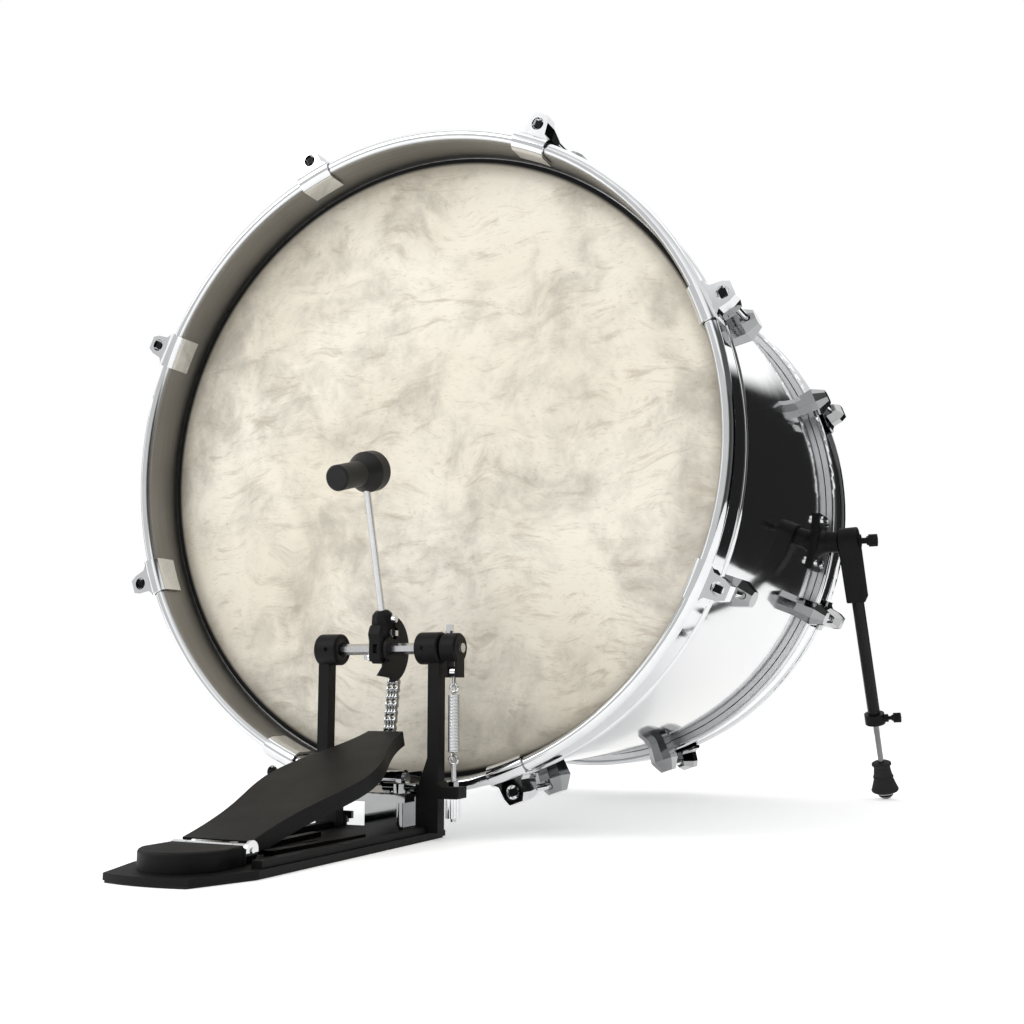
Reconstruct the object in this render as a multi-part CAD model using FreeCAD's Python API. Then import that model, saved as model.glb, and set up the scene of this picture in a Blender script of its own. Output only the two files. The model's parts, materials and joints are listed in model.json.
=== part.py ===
import FreeCAD, Part
import math
import os

# Bass drum on its spurs, with a kick pedal clamped to the batter hoop.
# Millimetres. +Z is up, +Y runs along the drum axis from the batter side (pedal) to the
# resonant side, +X is to the player's right. The pieces are drawn with Y = 0 in the plane
# of the batter hoop's front bead; at the end the whole model is moved along Y so that the
# origin lies at the bottom centre of the whole object's box.

V = FreeCAD.Vector
ORIGIN = V(0, 0, 0)
X_AXIS = V(1, 0, 0)
Y_AXIS = V(0, 1, 0)
Z_AXIS = V(0, 0, 1)

# ---------------------------------------------------------------- driving dimensions
# Drum shell
SHELL_DIAMETER = 558.8
SHELL_DEPTH = 406.4
SHELL_WALL = 7.0
HOOP_LIFT = 30.0
EDGE_CHAMFER = 3.0
VENT_RADIUS = 6.0

# Heads and flesh hoops
HEAD_SETBACK = 37.0
FILM_THICKNESS = 0.3
FILM_GAP = 0.2
COLLAR_DEPTH = 8.0
FLESH_HOOP_WIDTH = 6.0
FLESH_HOOP_DEPTH = 8.0

# Counter hoops
BEAD_RADIUS = 5.5
HOOP_OVER_SHELL = 12.6
HOOP_WALL = 2.4
BAND_OVER_SHELL = 10.1
HOOP_DEPTH = 48.0
REAR_BEAD_RADIUS = 2.6
HOOP_CLEARANCE = 0.4

# Claws, tension rods and lugs
LUGS_PER_SIDE = 8
LUG_TURN = 2.4
ROD_OVER_HOOP = 12.0
ROD_RADIUS = 3.0
CLAW_WIDTH = 33.0
CLAW_PLATE = 2.2
LINER_THICKNESS = 0.8
CLAW_LIP_DEPTH = 18.0
CLAW_EAR_DEPTH = 34.0
CLAW_EAR_WIDTH = 21.0
CLAW_EAR_TIP_WIDTH = 12.0
CLAW_EAR_OVER_ROD = 9.0
SOCKET_RADIUS = 5.6
SOCKET_DEPTH = 9.0
KEY_HEAD_ACROSS = 6.0
KEY_HEAD_LENGTH = 6.0
LUG_LENGTH = 38.0
LUG_WIDTH = 24.0
LUG_TOP_LENGTH = 20.0
LUG_TOP_WIDTH = 13.0
LUG_OVER_ROD = 7.0
LUG_CENTRE = 84.0
LUG_CORNER = 0.3
LUG_NUT_RADIUS = 4.6
LUG_NUT_LENGTH = 16.0
LUG_SCREW_RADIUS = 2.0
LUG_SCREW_HEAD_RADIUS = 4.0
LUG_SCREW_PITCH = 22.0
LUG_SCREW_REACH = 6.0

# Spurs
SPUR_FROM_SHELL_END = 43.4
SPUR_OVER_SHELL = 28.6
SPUR_BELOW_CENTRE = 50.0
SPUR_REACH_FORWARD = 96.0
SPUR_REACH_OUT = 14.0
SPUR_HOUSING_WIDTH = 29.0
SPUR_HOUSING_TIP_WIDTH = 23.0
SPUR_HOUSING_THICK = 20.0
SPUR_HOUSING_LENGTH = 64.0
SPUR_PIVOT_RADIUS = 4.0
SPUR_TUBE_RADIUS = 6.3
SPUR_TUBE_WALL = 1.6
SPUR_TUBE_START = 16.0
SPUR_TUBE_END = 191.0
SPUR_COLLAR_RADIUS = 10.5
SPUR_COLLAR_LENGTH = 11.0
SPUR_ROD_RADIUS = 2.9
SPUR_ROD_START = 70.0
SPUR_FOOT_RADIUS = 14.5
SPUR_FOOT_LENGTH = 37.0
SPUR_TIP_RADIUS = 9.0
SPUR_TIP_BULGE = 4.8
BRACKET_WIDTH = 44.0
BRACKET_HEIGHT = 58.0
BRACKET_THICK = 4.0
BRACKET_ARM_RADIUS = 11.0
SLIDING_FIT = 0.06

# Kick pedal
SHAFT_Y = -37.0
SHAFT_Z = 151.0
SHAFT_ACROSS_FLATS = 8.0
SHAFT_JOURNAL_RADIUS = 3.9
HOUSING_RADIUS = 13.0
HOUSING_LENGTH = 21.0
HOUSING_CENTRE_X = 47.5
BEARING_RADIUS = 9.0
BEARING_WIDTH = 7.0
POST_CENTRE_X = 52.0
POST_WIDTH = 10.0
POST_DEPTH = 11.0
POST_FOOT_WIDTH = 20.0
POST_FOOT_HEIGHT = 40.0
BASE_HALF_WIDTH = 50.0
BASE_THICK = 4.5
PAD_THICK = 1.5
BASE_FRONT_Y = -16.0
BASE_TONGUE_Y = 12.0
BASE_STRAIGHT_Y = -266.0
HEEL_HALF_WIDTH = 33.0
HEEL_END_Y = -318.0
HEEL_BOW = 5.0
HEEL_PLATE_INSET = 2.5
HEEL_PLATE_SIDE = 36.0
HEEL_PLATE_TIP = 14.0
HEEL_TOP_Z = 19.0
HINGE_Y = -250.0
HINGE_Z = 15.5
HINGE_WIDTH = 62.0
HINGE_BARREL_RADIUS = 4.2
HINGE_PIN_RADIUS = 1.8
BOARD_TOE_Y = -27.0
BOARD_TOE_Z = 81.0
BOARD_THICK = 4.0
BOARD_SKIRT = 12.0
BOARD_SKIRT_WALL = 3.2
CAM_RADIUS = 27.0
CHAIN_RADIUS = 25.0
CHAIN_WIDTH = 11.0
CHAIN_THICK = 5.6
CHAIN_TO_CORE = 0.9
HUB_WIDTH = 14.0
HUB_DEPTH = 20.0
HUB_TOP = 19.0
HUB_BOTTOM = 12.0
HUB_SCREW_RADIUS = 2.0
BEATER_LEAN = 15.0
BEATER_OFFSET = 8.2
BEATER_ROD_RADIUS = 2.75
BEATER_CENTRE_UP = 146.0
BEATER_FACE_RADIUS = 17.0
BEATER_TAIL_RADIUS = 10.5
BEATER_TAIL_LENGTH = 44.0
BEATER_FACE_LENGTH = 19.0
BEATER_DOME_RISE = 4.0
BEATER_EDGE_ROUND = 3.0
ROCKER_START_X = 59.0
ROCKER_LENGTH = 15.0
ROCKER_RADIUS = 12.0
SPRING_X = 68.0
SPRING_PIN_DROP = 19.0
SPRING_RADIUS = 4.8
SPRING_WIRE = 1.1
SPRING_TOP_Z = 113.0
SPRING_BOTTOM_Z = 70.0
SPRING_ROD_RADIUS = 2.2
SPRING_ARM_Z = 33.0
SPRING_ARM_THICK = 9.0
CLAMP_PIN_Y = -24.0
CLAMP_PIN_Z = 46.0
CLAMP_WIDTH = 34.0
CLAMP_SCREW_X = 34.0
CLAMP_SCREW_Y = -62.0
RUN = 0.05
GAP = 0.3

SHELL_RADIUS = SHELL_DIAMETER / 2
SHELL_START_Y = HEAD_SETBACK
SHELL_END_Y = SHELL_START_Y + SHELL_DEPTH
RESONANT_BEAD_Y = SHELL_END_Y + HEAD_SETBACK
BEAD_OUTER_RADIUS = SHELL_RADIUS + HOOP_OVER_SHELL
HOOP_BAND_OUTER = SHELL_RADIUS + BAND_OVER_SHELL
ROD_CIRCLE_RADIUS = BEAD_OUTER_RADIUS + ROD_OVER_HOOP
CLAW_EAR_TOP = ROD_CIRCLE_RADIUS + CLAW_EAR_OVER_ROD
LUG_TOP_RADIUS = ROD_CIRCLE_RADIUS + LUG_OVER_ROD
DRUM_CENTRE_HEIGHT = HOOP_LIFT + BEAD_OUTER_RADIUS
SPUR_Y = SHELL_END_Y - SPUR_FROM_SHELL_END
SPUR_PIVOT_X = SHELL_RADIUS + SPUR_OVER_SHELL
SPUR_PIVOT_Z = DRUM_CENTRE_HEIGHT - SPUR_BELOW_CENTRE
BEAD_CIRCLE = BEAD_OUTER_RADIUS - BEAD_RADIUS
HOOP_INNER = BEAD_OUTER_RADIUS - 2 * BEAD_RADIUS
DRUM_CENTRE = V(0, 0, DRUM_CENTRE_HEIGHT)
SHAFT_RADIUS = SHAFT_ACROSS_FLATS / math.sqrt(3)
BASE_TOP_Z = PAD_THICK + BASE_THICK
HOOP_BOTTOM_Z = DRUM_CENTRE_HEIGHT - BEAD_OUTER_RADIUS
BOARD_SLOPE = math.atan2(BOARD_TOE_Z - HINGE_Z, BOARD_TOE_Y - HINGE_Y)
SPUR_ANGLE_FORWARD = math.degrees(math.atan2(SPUR_REACH_FORWARD, SPUR_PIVOT_Z))
SPUR_LENGTH_YZ = math.hypot(SPUR_REACH_FORWARD, SPUR_PIVOT_Z)
SPUR_ANGLE_OUT = math.degrees(math.atan2(SPUR_REACH_OUT, SPUR_LENGTH_YZ))
SPUR_COS = math.cos(math.radians(SPUR_ANGLE_FORWARD)) * math.cos(math.radians(SPUR_ANGLE_OUT))
SPUR_TIP_CENTRE = (SPUR_PIVOT_Z - SPUR_TIP_RADIUS) / SPUR_COS

parts = {}


# ---------------------------------------------------------------- shape helpers
def cylinder(radius, length, start, direction):
    return Part.makeCylinder(radius, length, start, direction)


def ring(outer, inner, length, start, direction):
    return cylinder(outer, length, start, direction).cut(cylinder(inner, length, start, direction))


def block(x0, x1, y0, y1, z0, z1):
    return Part.makeBox(x1 - x0, y1 - y0, z1 - z0, V(x0, y0, z0))


def prism(points, sweep):
    return Part.Face(Part.makePolygon(points + [points[0]])).extrude(sweep)


def hexagon_bar(across, start_x, end_x, y, z):
    radius = across / math.sqrt(3)
    corners = [math.radians(60 * k + 30) for k in range(6)]
    points = [V(start_x, y + radius * math.cos(a), z + radius * math.sin(a)) for a in corners]
    return prism(points, V(end_x - start_x, 0, 0))


def turned_about_drum(points):
    """Solid of revolution about the drum axis from (radius, y) points."""
    outline = [V(radius, y, 0) for radius, y in points]
    face = Part.Face(Part.makePolygon(outline + [outline[0]]))
    return face.revolve(ORIGIN, Y_AXIS, 360)


def to_drum_axis(shape):
    shape.translate(DRUM_CENTRE)
    return shape


def fused(shapes):
    result = shapes[0].multiFuse(shapes[1:])
    return result.removeSplitter()


def mirrored_ends(shape):
    """The same piece at the resonant end of the drum."""
    return shape.mirror(V(0, RESONANT_BEAD_Y / 2, 0), Y_AXIS)


def around_drum(shape):
    """Copies of a piece drawn at twelve o'clock, one for each lug position.

    The drum stands turned a little on its spurs, so the lugs are all turned by LUG_TURN.
    """
    step = 360.0 / LUGS_PER_SIDE
    copies = []
    for index in range(LUGS_PER_SIDE):
        copy = shape.copy()
        copy.rotate(ORIGIN, Y_AXIS, step * (index + 0.5) + LUG_TURN)
        copies.append(to_drum_axis(copy))
    return copies


def both_sides(shape):
    return [shape, shape.mirror(ORIGIN, X_AXIS)]


# ---------------------------------------------------------------- drum
def make_shell():
    edge = SHELL_WALL / 2
    inner = SHELL_RADIUS - SHELL_WALL
    crown = inner + edge
    body = turned_about_drum([
        (inner, SHELL_START_Y + edge),
        (crown, SHELL_START_Y + FILM_THICKNESS),
        (SHELL_RADIUS - FILM_GAP, SHELL_START_Y + EDGE_CHAMFER),
        (SHELL_RADIUS, SHELL_START_Y + EDGE_CHAMFER),
        (SHELL_RADIUS, SHELL_END_Y - EDGE_CHAMFER),
        (SHELL_RADIUS - FILM_GAP, SHELL_END_Y - EDGE_CHAMFER),
        (crown, SHELL_END_Y - FILM_THICKNESS),
        (inner, SHELL_END_Y - edge),
    ])
    body = to_drum_axis(body)
    middle_y = (SHELL_START_Y + SHELL_END_Y) / 2
    vent_start = V(-SHELL_RADIUS - 1, middle_y, DRUM_CENTRE_HEIGHT)
    holes = [cylinder(VENT_RADIUS, SHELL_WALL + 5, vent_start, X_AXIS)]
    drill = cylinder(LUG_SCREW_RADIUS, SHELL_WALL + 5, V(0, 0, SHELL_RADIUS - SHELL_WALL - 2), Z_AXIS)
    for centre in (LUG_CENTRE, RESONANT_BEAD_Y - LUG_CENTRE):
        for offset in (-LUG_SCREW_PITCH / 2, LUG_SCREW_PITCH / 2):
            screw_hole = drill.copy()
            screw_hole.translate(V(0, centre + offset, 0))
            holes += around_drum(screw_hole)
    return body.cut(Part.makeCompound(holes))


def make_vent():
    """Grommet through the shell, with a flange outside and a flared edge inside."""
    bore = VENT_RADIUS - 1.5
    flange = VENT_RADIUS + 3.0
    middle_y = (SHELL_START_Y + SHELL_END_Y) / 2
    start = V(-SHELL_RADIUS - 2.0, middle_y, DRUM_CENTRE_HEIGHT)
    outer_flange = cylinder(flange, 2.0 + 0.5, start, X_AXIS)
    outer_flange = outer_flange.cut(shell_envelope())
    barrel_start = V(-SHELL_RADIUS - 2.0, middle_y, DRUM_CENTRE_HEIGHT)
    barrel = cylinder(VENT_RADIUS, SHELL_WALL + 3.5, barrel_start, X_AXIS)
    hole = cylinder(bore, SHELL_WALL + 9.0, barrel_start - X_AXIS, X_AXIS)
    return outer_flange.fuse(barrel).cut(hole)


def shell_envelope():
    """Full cylinder of the shell's outer surface, used to seat what is screwed to it."""
    length = SHELL_DEPTH
    start = V(0, SHELL_START_Y, DRUM_CENTRE_HEIGHT)
    return cylinder(SHELL_RADIUS, length, start, Y_AXIS)


def make_head():
    """Batter film: flat disc, rolled collar and a short skirt that the flesh hoop grips."""
    outer = SHELL_RADIUS + FILM_THICKNESS + FILM_GAP
    inner = SHELL_RADIUS + FILM_GAP
    front = HEAD_SETBACK - GAP
    back = front + FILM_THICKNESS
    film = turned_about_drum([
        (0, front),
        (outer - FILM_THICKNESS, front),
        (outer, front + FILM_THICKNESS),
        (outer, front + COLLAR_DEPTH),
        (inner, front + COLLAR_DEPTH),
        (inner, back),
        (0, back),
    ])
    return to_drum_axis(film)


def flesh_hoop_start():
    return HEAD_SETBACK + 1.5


def make_flesh_hoop():
    inner = SHELL_RADIUS + FILM_THICKNESS + FILM_GAP
    start = V(0, flesh_hoop_start(), DRUM_CENTRE_HEIGHT)
    return ring(inner + FLESH_HOOP_WIDTH, inner, FLESH_HOOP_DEPTH, start, Y_AXIS)


def make_hoop():
    """Counter hoop: rolled front bead, groove, flat band, and a skirt over the flesh hoop."""
    skirt_inner = SHELL_RADIUS + FILM_THICKNESS + FILM_GAP + FLESH_HOOP_WIDTH + HOOP_CLEARANCE
    skirt_outer = skirt_inner + HOOP_WALL
    step_y = flesh_hoop_start()
    groove_y = BEAD_RADIUS + 3.0
    groove_outer = HOOP_INNER + HOOP_WALL
    band_end = HOOP_DEPTH - 3 * REAR_BEAD_RADIUS
    band_outer = max(HOOP_BAND_OUTER, skirt_outer)
    wall = turned_about_drum([
        (HOOP_INNER, 0),
        (groove_outer, 0),
        (groove_outer, groove_y),
        (band_outer - 0.8, groove_y + 0.4),
        (band_outer, groove_y + 2.0),
        (band_outer, band_end - 1.5),
        (skirt_outer - 0.6, band_end),
        (skirt_outer, band_end + 1.2),
        (skirt_outer, HOOP_DEPTH),
        (skirt_inner, HOOP_DEPTH),
        (skirt_inner, step_y),
        (HOOP_INNER, step_y),
    ])
    bead = Part.makeTorus(BEAD_CIRCLE, BEAD_RADIUS, ORIGIN, Y_AXIS)
    rear_circle = skirt_outer - REAR_BEAD_RADIUS + 2.2
    rear_bead = Part.makeTorus(rear_circle, REAR_BEAD_RADIUS, V(0, HOOP_DEPTH, 0), Y_AXIS)
    body = fused([wall, bead, rear_bead])
    return to_drum_axis(body.cut(Part.makeCylinder(skirt_inner, 9, V(0, step_y, 0), Y_AXIS)))


def claw_section(inner_gap, thickness, lip_end, outer_end):
    """Face in the (radius, y) plane wrapped round the front bead at a set gap."""
    near = BEAD_RADIUS + inner_gap
    far = near + thickness
    centre = V(BEAD_CIRCLE, 0, 0)
    in_near = BEAD_CIRCLE - near
    in_far = BEAD_CIRCLE - far
    out_near = BEAD_CIRCLE + near
    out_far = BEAD_CIRCLE + far
    edges = [
        Part.makeLine(V(in_near, lip_end, 0), V(in_near, 0, 0)),
        Part.Arc(V(in_near, 0, 0), centre + V(0, -near, 0), V(out_near, 0, 0)).toShape(),
        Part.makeLine(V(out_near, 0, 0), V(out_near, outer_end, 0)),
        Part.makeLine(V(out_near, outer_end, 0), V(out_far, outer_end, 0)),
        Part.makeLine(V(out_far, outer_end, 0), V(out_far, 0, 0)),
        Part.Arc(V(out_far, 0, 0), centre + V(0, -far, 0), V(in_far, 0, 0)).toShape(),
        Part.makeLine(V(in_far, 0, 0), V(in_far, lip_end, 0)),
        Part.makeLine(V(in_far, lip_end, 0), V(in_near, lip_end, 0)),
    ]
    return Part.Face(Part.Wire(edges))


def saddle(inner_gap, thickness, width, lip_end, outer_end):
    """Claw plate or liner at twelve o'clock, spanning the given width along the hoop."""
    half = math.degrees(width / 2 / BEAD_OUTER_RADIUS)
    body = claw_section(inner_gap, thickness, lip_end, outer_end).revolve(ORIGIN, Y_AXIS, 2 * half)
    body.rotate(ORIGIN, Y_AXIS, -90 - half)
    return body


def make_claw():
    """Claw hook at twelve o'clock: saddle over the bead and an ear that carries the rod."""
    plate = saddle(LINER_THICKNESS, CLAW_PLATE, CLAW_WIDTH, CLAW_LIP_DEPTH, CLAW_EAR_DEPTH - 12)
    base = BEAD_OUTER_RADIUS + LINER_THICKNESS
    half = CLAW_EAR_WIDTH / 2
    tip = CLAW_EAR_TIP_WIDTH / 2
    shoulder = ROD_CIRCLE_RADIUS + 3.0
    outline = [
        V(-CLAW_WIDTH / 2 + 2, 0, base + 0.6),
        V(CLAW_WIDTH / 2 - 2, 0, base + 0.6),
        V(half, 0, base + 4.0),
        V(half - 1.5, 0, shoulder),
        V(tip, 0, CLAW_EAR_TOP),
        V(-tip, 0, CLAW_EAR_TOP),
        V(-half + 1.5, 0, shoulder),
        V(-half, 0, base + 4.0),
    ]
    front = Part.makePolygon(outline + [outline[0]])
    front.translate(V(0, -BEAD_RADIUS + 1.0, 0))
    middle = front.copy()
    middle.translate(V(0, CLAW_EAR_DEPTH * 0.45, 0))
    back_points = [V(p.x * 0.55, CLAW_EAR_DEPTH, base + 1.6 + (p.z - base - 0.6) * 0.75) for p in outline]
    back = Part.makePolygon(back_points + [back_points[0]])
    ear = Part.makeLoft([front, middle], True, True).fuse(Part.makeLoft([middle, back], True, True))
    hoop_space = saddle(-0.01, LINER_THICKNESS + 0.01, CLAW_WIDTH + 20, HOOP_DEPTH, HOOP_DEPTH)
    bead_space = Part.makeCylinder(base, 2 * HOOP_DEPTH, V(0, -BEAD_RADIUS, 0), Y_AXIS)
    ear = ear.cut(hoop_space).cut(bead_space)
    claw = fused([plate, ear])
    rod_line = V(0, -3 * BEAD_RADIUS, ROD_CIRCLE_RADIUS)
    claw = claw.cut(cylinder(ROD_RADIUS + 0.4, 3 * CLAW_EAR_DEPTH, rod_line, Y_AXIS))
    socket_start = V(0, -BEAD_RADIUS - 2, ROD_CIRCLE_RADIUS)
    return claw.cut(cylinder(SOCKET_RADIUS, SOCKET_DEPTH + 3, socket_start, Y_AXIS))


def make_liner():
    return saddle(0.0, LINER_THICKNESS, CLAW_WIDTH - 2, CLAW_LIP_DEPTH - 2, BEAD_RADIUS + 6)


def make_tension_rod():
    """Rod at twelve o'clock with a collar and a square key head inside the claw's socket."""
    collar_y = SOCKET_DEPTH - BEAD_RADIUS + 1.0 - 2.0
    end_y = LUG_CENTRE + LUG_NUT_LENGTH / 2 - 2
    stem = cylinder(ROD_RADIUS, end_y - collar_y, V(0, collar_y, ROD_CIRCLE_RADIUS), Y_AXIS)
    collar = cylinder(SOCKET_RADIUS - 0.5, 2.0, V(0, collar_y, ROD_CIRCLE_RADIUS), Y_AXIS)
    half = KEY_HEAD_ACROSS / 2
    head = block(-half, half, collar_y - KEY_HEAD_LENGTH, collar_y,
                 ROD_CIRCLE_RADIUS - half, ROD_CIRCLE_RADIUS + half)
    return fused([stem, collar, head])


def octagon(length, width, corner, centre_y, z):
    cut = corner * min(length, width)
    a = width / 2
    b = length / 2
    corners = [(-a + cut, -b), (a - cut, -b), (a, -b + cut), (a, b - cut),
               (a - cut, b), (-a + cut, b), (-a, b - cut), (-a, -b + cut)]
    points = [V(x, centre_y + y, z) for x, y in corners]
    return Part.makePolygon(points + [points[0]])


def make_lug():
    """Faceted lug at twelve o'clock, seated on the shell, bored for its nut and rod."""
    waist = SHELL_RADIUS + 0.62 * (LUG_TOP_RADIUS - SHELL_RADIUS)
    foot = SHELL_RADIUS - 1.5
    lower = Part.makeLoft([
        octagon(LUG_LENGTH - 6, LUG_WIDTH - 4, LUG_CORNER, LUG_CENTRE, foot),
        octagon(LUG_LENGTH, LUG_WIDTH, LUG_CORNER, LUG_CENTRE, waist),
    ], True, True)
    upper = Part.makeLoft([
        octagon(LUG_LENGTH, LUG_WIDTH, LUG_CORNER, LUG_CENTRE, waist),
        octagon(LUG_TOP_LENGTH, LUG_TOP_WIDTH, LUG_CORNER, LUG_CENTRE, LUG_TOP_RADIUS),
    ], True, True)
    body = lower.fuse(upper).removeSplitter()
    body = body.cut(Part.makeCylinder(SHELL_RADIUS, SHELL_DEPTH, V(0, SHELL_START_Y, 0), Y_AXIS))
    front_y = LUG_CENTRE - LUG_LENGTH
    nut_y = LUG_CENTRE - LUG_NUT_LENGTH / 2
    body = body.cut(cylinder(ROD_RADIUS + 0.4, LUG_LENGTH, V(0, front_y, ROD_CIRCLE_RADIUS), Y_AXIS))
    body = body.cut(cylinder(LUG_NUT_RADIUS, LUG_NUT_LENGTH, V(0, nut_y, ROD_CIRCLE_RADIUS), Y_AXIS))
    for offset in (-LUG_SCREW_PITCH / 2, LUG_SCREW_PITCH / 2):
        start = V(0, LUG_CENTRE + offset, SHELL_RADIUS - 1)
        body = body.cut(cylinder(LUG_SCREW_RADIUS, LUG_SCREW_REACH + 1.5, start, Z_AXIS))
    return body


def make_lug_nut():
    start = V(0, LUG_CENTRE - LUG_NUT_LENGTH / 2, ROD_CIRCLE_RADIUS)
    return ring(LUG_NUT_RADIUS, ROD_RADIUS, LUG_NUT_LENGTH, start, Y_AXIS)


def make_lug_screws():
    """Pair of screws from inside the shell into the lug, with domed heads."""
    screws = []
    head_z = SHELL_RADIUS - SHELL_WALL
    for offset in (-LUG_SCREW_PITCH / 2, LUG_SCREW_PITCH / 2):
        y = LUG_CENTRE + offset
        shank = cylinder(LUG_SCREW_RADIUS, SHELL_WALL + LUG_SCREW_REACH, V(0, y, head_z), Z_AXIS)
        head = cylinder(LUG_SCREW_HEAD_RADIUS, 3.0, V(0, y, head_z - 3.0), Z_AXIS)
        bore = Part.makeCylinder(SHELL_RADIUS - SHELL_WALL, SHELL_DEPTH, V(0, SHELL_START_Y, 0), Y_AXIS)
        screws.append(head.common(bore).fuse(shank).removeSplitter())
    return screws


def make_drum():
    parts["shell"] = make_shell()
    parts["air_vent"] = make_vent()
    head = make_head()
    parts["batter_head"] = head
    parts["resonant_head"] = mirrored_ends(head)
    flesh = make_flesh_hoop()
    parts["flesh_hoops"] = Part.makeCompound([flesh, mirrored_ends(flesh)])
    hoop = make_hoop()
    parts["batter_hoop"] = hoop
    parts["resonant_hoop"] = mirrored_ends(hoop)
    claws = around_drum(make_claw())
    parts["batter_claws"] = Part.makeCompound(claws)
    parts["resonant_claws"] = Part.makeCompound([mirrored_ends(c) for c in claws])
    liners = around_drum(make_liner())
    parts["claw_liners"] = Part.makeCompound(liners + [mirrored_ends(c) for c in liners])
    rods = around_drum(make_tension_rod())
    parts["tension_rods"] = Part.makeCompound(rods + [mirrored_ends(c) for c in rods])
    lugs = around_drum(make_lug())
    parts["batter_lugs"] = Part.makeCompound(lugs)
    parts["resonant_lugs"] = Part.makeCompound([mirrored_ends(c) for c in lugs])
    nuts = around_drum(make_lug_nut())
    parts["lug_nuts"] = Part.makeCompound(nuts + [mirrored_ends(c) for c in nuts])
    screws = []
    for screw in make_lug_screws():
        screws += around_drum(screw)
    parts["lug_screws"] = Part.makeCompound(screws + [mirrored_ends(c) for c in screws])


# ---------------------------------------------------------------- spurs
def place_leg(shape):
    """Leg pieces are drawn hanging straight down from the pivot, then leaned and placed."""
    shape.rotate(ORIGIN, X_AXIS, SPUR_ANGLE_FORWARD)
    shape.rotate(ORIGIN, Y_AXIS, -SPUR_ANGLE_OUT)
    shape.translate(V(SPUR_PIVOT_X, SPUR_Y, SPUR_PIVOT_Z))
    return shape


def make_spur_bracket():
    """Curved pad on the shell with a round arm that the leg housing turns on."""
    x_in = SHELL_RADIUS * 0.93
    x_out = SHELL_RADIUS + BRACKET_THICK
    centre_y = SPUR_Y
    pad_block = block(x_in, x_out + 2, centre_y - BRACKET_WIDTH / 2, centre_y + BRACKET_WIDTH / 2,
                      SPUR_PIVOT_Z - BRACKET_HEIGHT / 2, SPUR_PIVOT_Z + BRACKET_HEIGHT / 2)
    start = V(0, SHELL_START_Y, DRUM_CENTRE_HEIGHT)
    outer = cylinder(SHELL_RADIUS + BRACKET_THICK, SHELL_DEPTH, start, Y_AXIS)
    pad = pad_block.common(outer)
    arm_end = SPUR_PIVOT_X - SPUR_HOUSING_THICK / 2 - GAP - 0.6
    arm = cylinder(BRACKET_ARM_RADIUS, arm_end - x_in, V(x_in, SPUR_Y, SPUR_PIVOT_Z), X_AXIS)
    flare = Part.makeCone(BRACKET_ARM_RADIUS + 6, BRACKET_ARM_RADIUS, 9,
                          V(SHELL_RADIUS - 4, SPUR_Y, SPUR_PIVOT_Z), X_AXIS)
    bracket = fused([pad, arm, flare]).cut(shell_envelope())
    bolt_start = V(arm_end - 16, SPUR_Y, SPUR_PIVOT_Z)
    bracket = bracket.cut(cylinder(SPUR_PIVOT_RADIUS + RUN, 30, bolt_start, X_AXIS))
    for screw in bracket_screw_lines():
        bracket = bracket.cut(cylinder(2.5, 60, V(x_in - 10, screw.y, screw.z), X_AXIS))
        seat_x = pad_surface_x(screw.z) - 0.2
        bracket = bracket.cut(cylinder(4.6, 20, V(seat_x, screw.y, screw.z), X_AXIS))
    return bracket


def bracket_screw_lines():
    y_off = BRACKET_WIDTH / 2 - 7
    z_off = BRACKET_HEIGHT / 2 - 7
    return [V(0, SPUR_Y + i * y_off, SPUR_PIVOT_Z + j * z_off) for i in (-1, 1) for j in (-1, 1)]


def pad_surface_x(z):
    radius = SHELL_RADIUS + BRACKET_THICK
    return math.sqrt(radius ** 2 - (z - DRUM_CENTRE_HEIGHT) ** 2)


def make_bracket_screws():
    screws = []
    for line in bracket_screw_lines():
        surface = pad_surface_x(line.z)
        inner_x = math.sqrt(SHELL_RADIUS ** 2 - (line.z - DRUM_CENTRE_HEIGHT) ** 2)
        shank = cylinder(2.4, surface + 1 - inner_x - 0.6, V(inner_x + 0.6, line.y, line.z), X_AXIS)
        head = cylinder(4.2, 3.4, V(surface - 0.1, line.y, line.z), X_AXIS)
        slot = block(surface + 2.0, surface + 6, line.y - 5, line.y + 5, line.z - 0.6, line.z + 0.6)
        screw = head.fuse(shank).removeSplitter().cut(slot)
        screws.append(screw)
    return screws


def make_spur_housing():
    """Tapered casting with a rounded top that holds the leg tube."""
    top_radius = SPUR_HOUSING_WIDTH / 2
    tip = SPUR_HOUSING_TIP_WIDTH / 2
    x0 = -SPUR_HOUSING_THICK / 2
    edges = [
        Part.Arc(V(x0, top_radius, 0), V(x0, 0, top_radius), V(x0, -top_radius, 0)).toShape(),
        Part.makeLine(V(x0, -top_radius, 0), V(x0, -tip, -SPUR_HOUSING_LENGTH)),
        Part.makeLine(V(x0, -tip, -SPUR_HOUSING_LENGTH), V(x0, tip, -SPUR_HOUSING_LENGTH)),
        Part.makeLine(V(x0, tip, -SPUR_HOUSING_LENGTH), V(x0, top_radius, 0)),
    ]
    body = Part.Face(Part.Wire(edges)).extrude(V(SPUR_HOUSING_THICK, 0, 0))
    body = body.makeFillet(1.6, [e for e in body.Edges if abs(abs(e.CenterOfMass.x) - abs(x0)) < 0.01])
    bore_start = V(0, 0, -SPUR_HOUSING_LENGTH - 1)
    bore_length = SPUR_HOUSING_LENGTH + 1 - SPUR_TUBE_START
    body = body.cut(cylinder(SPUR_TUBE_RADIUS, bore_length, bore_start, Z_AXIS))
    body = place_leg(body)
    hole_start = V(SPUR_PIVOT_X - 30, SPUR_Y, SPUR_PIVOT_Z)
    return body.cut(cylinder(SPUR_PIVOT_RADIUS + RUN, 60, hole_start, X_AXIS))


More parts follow.
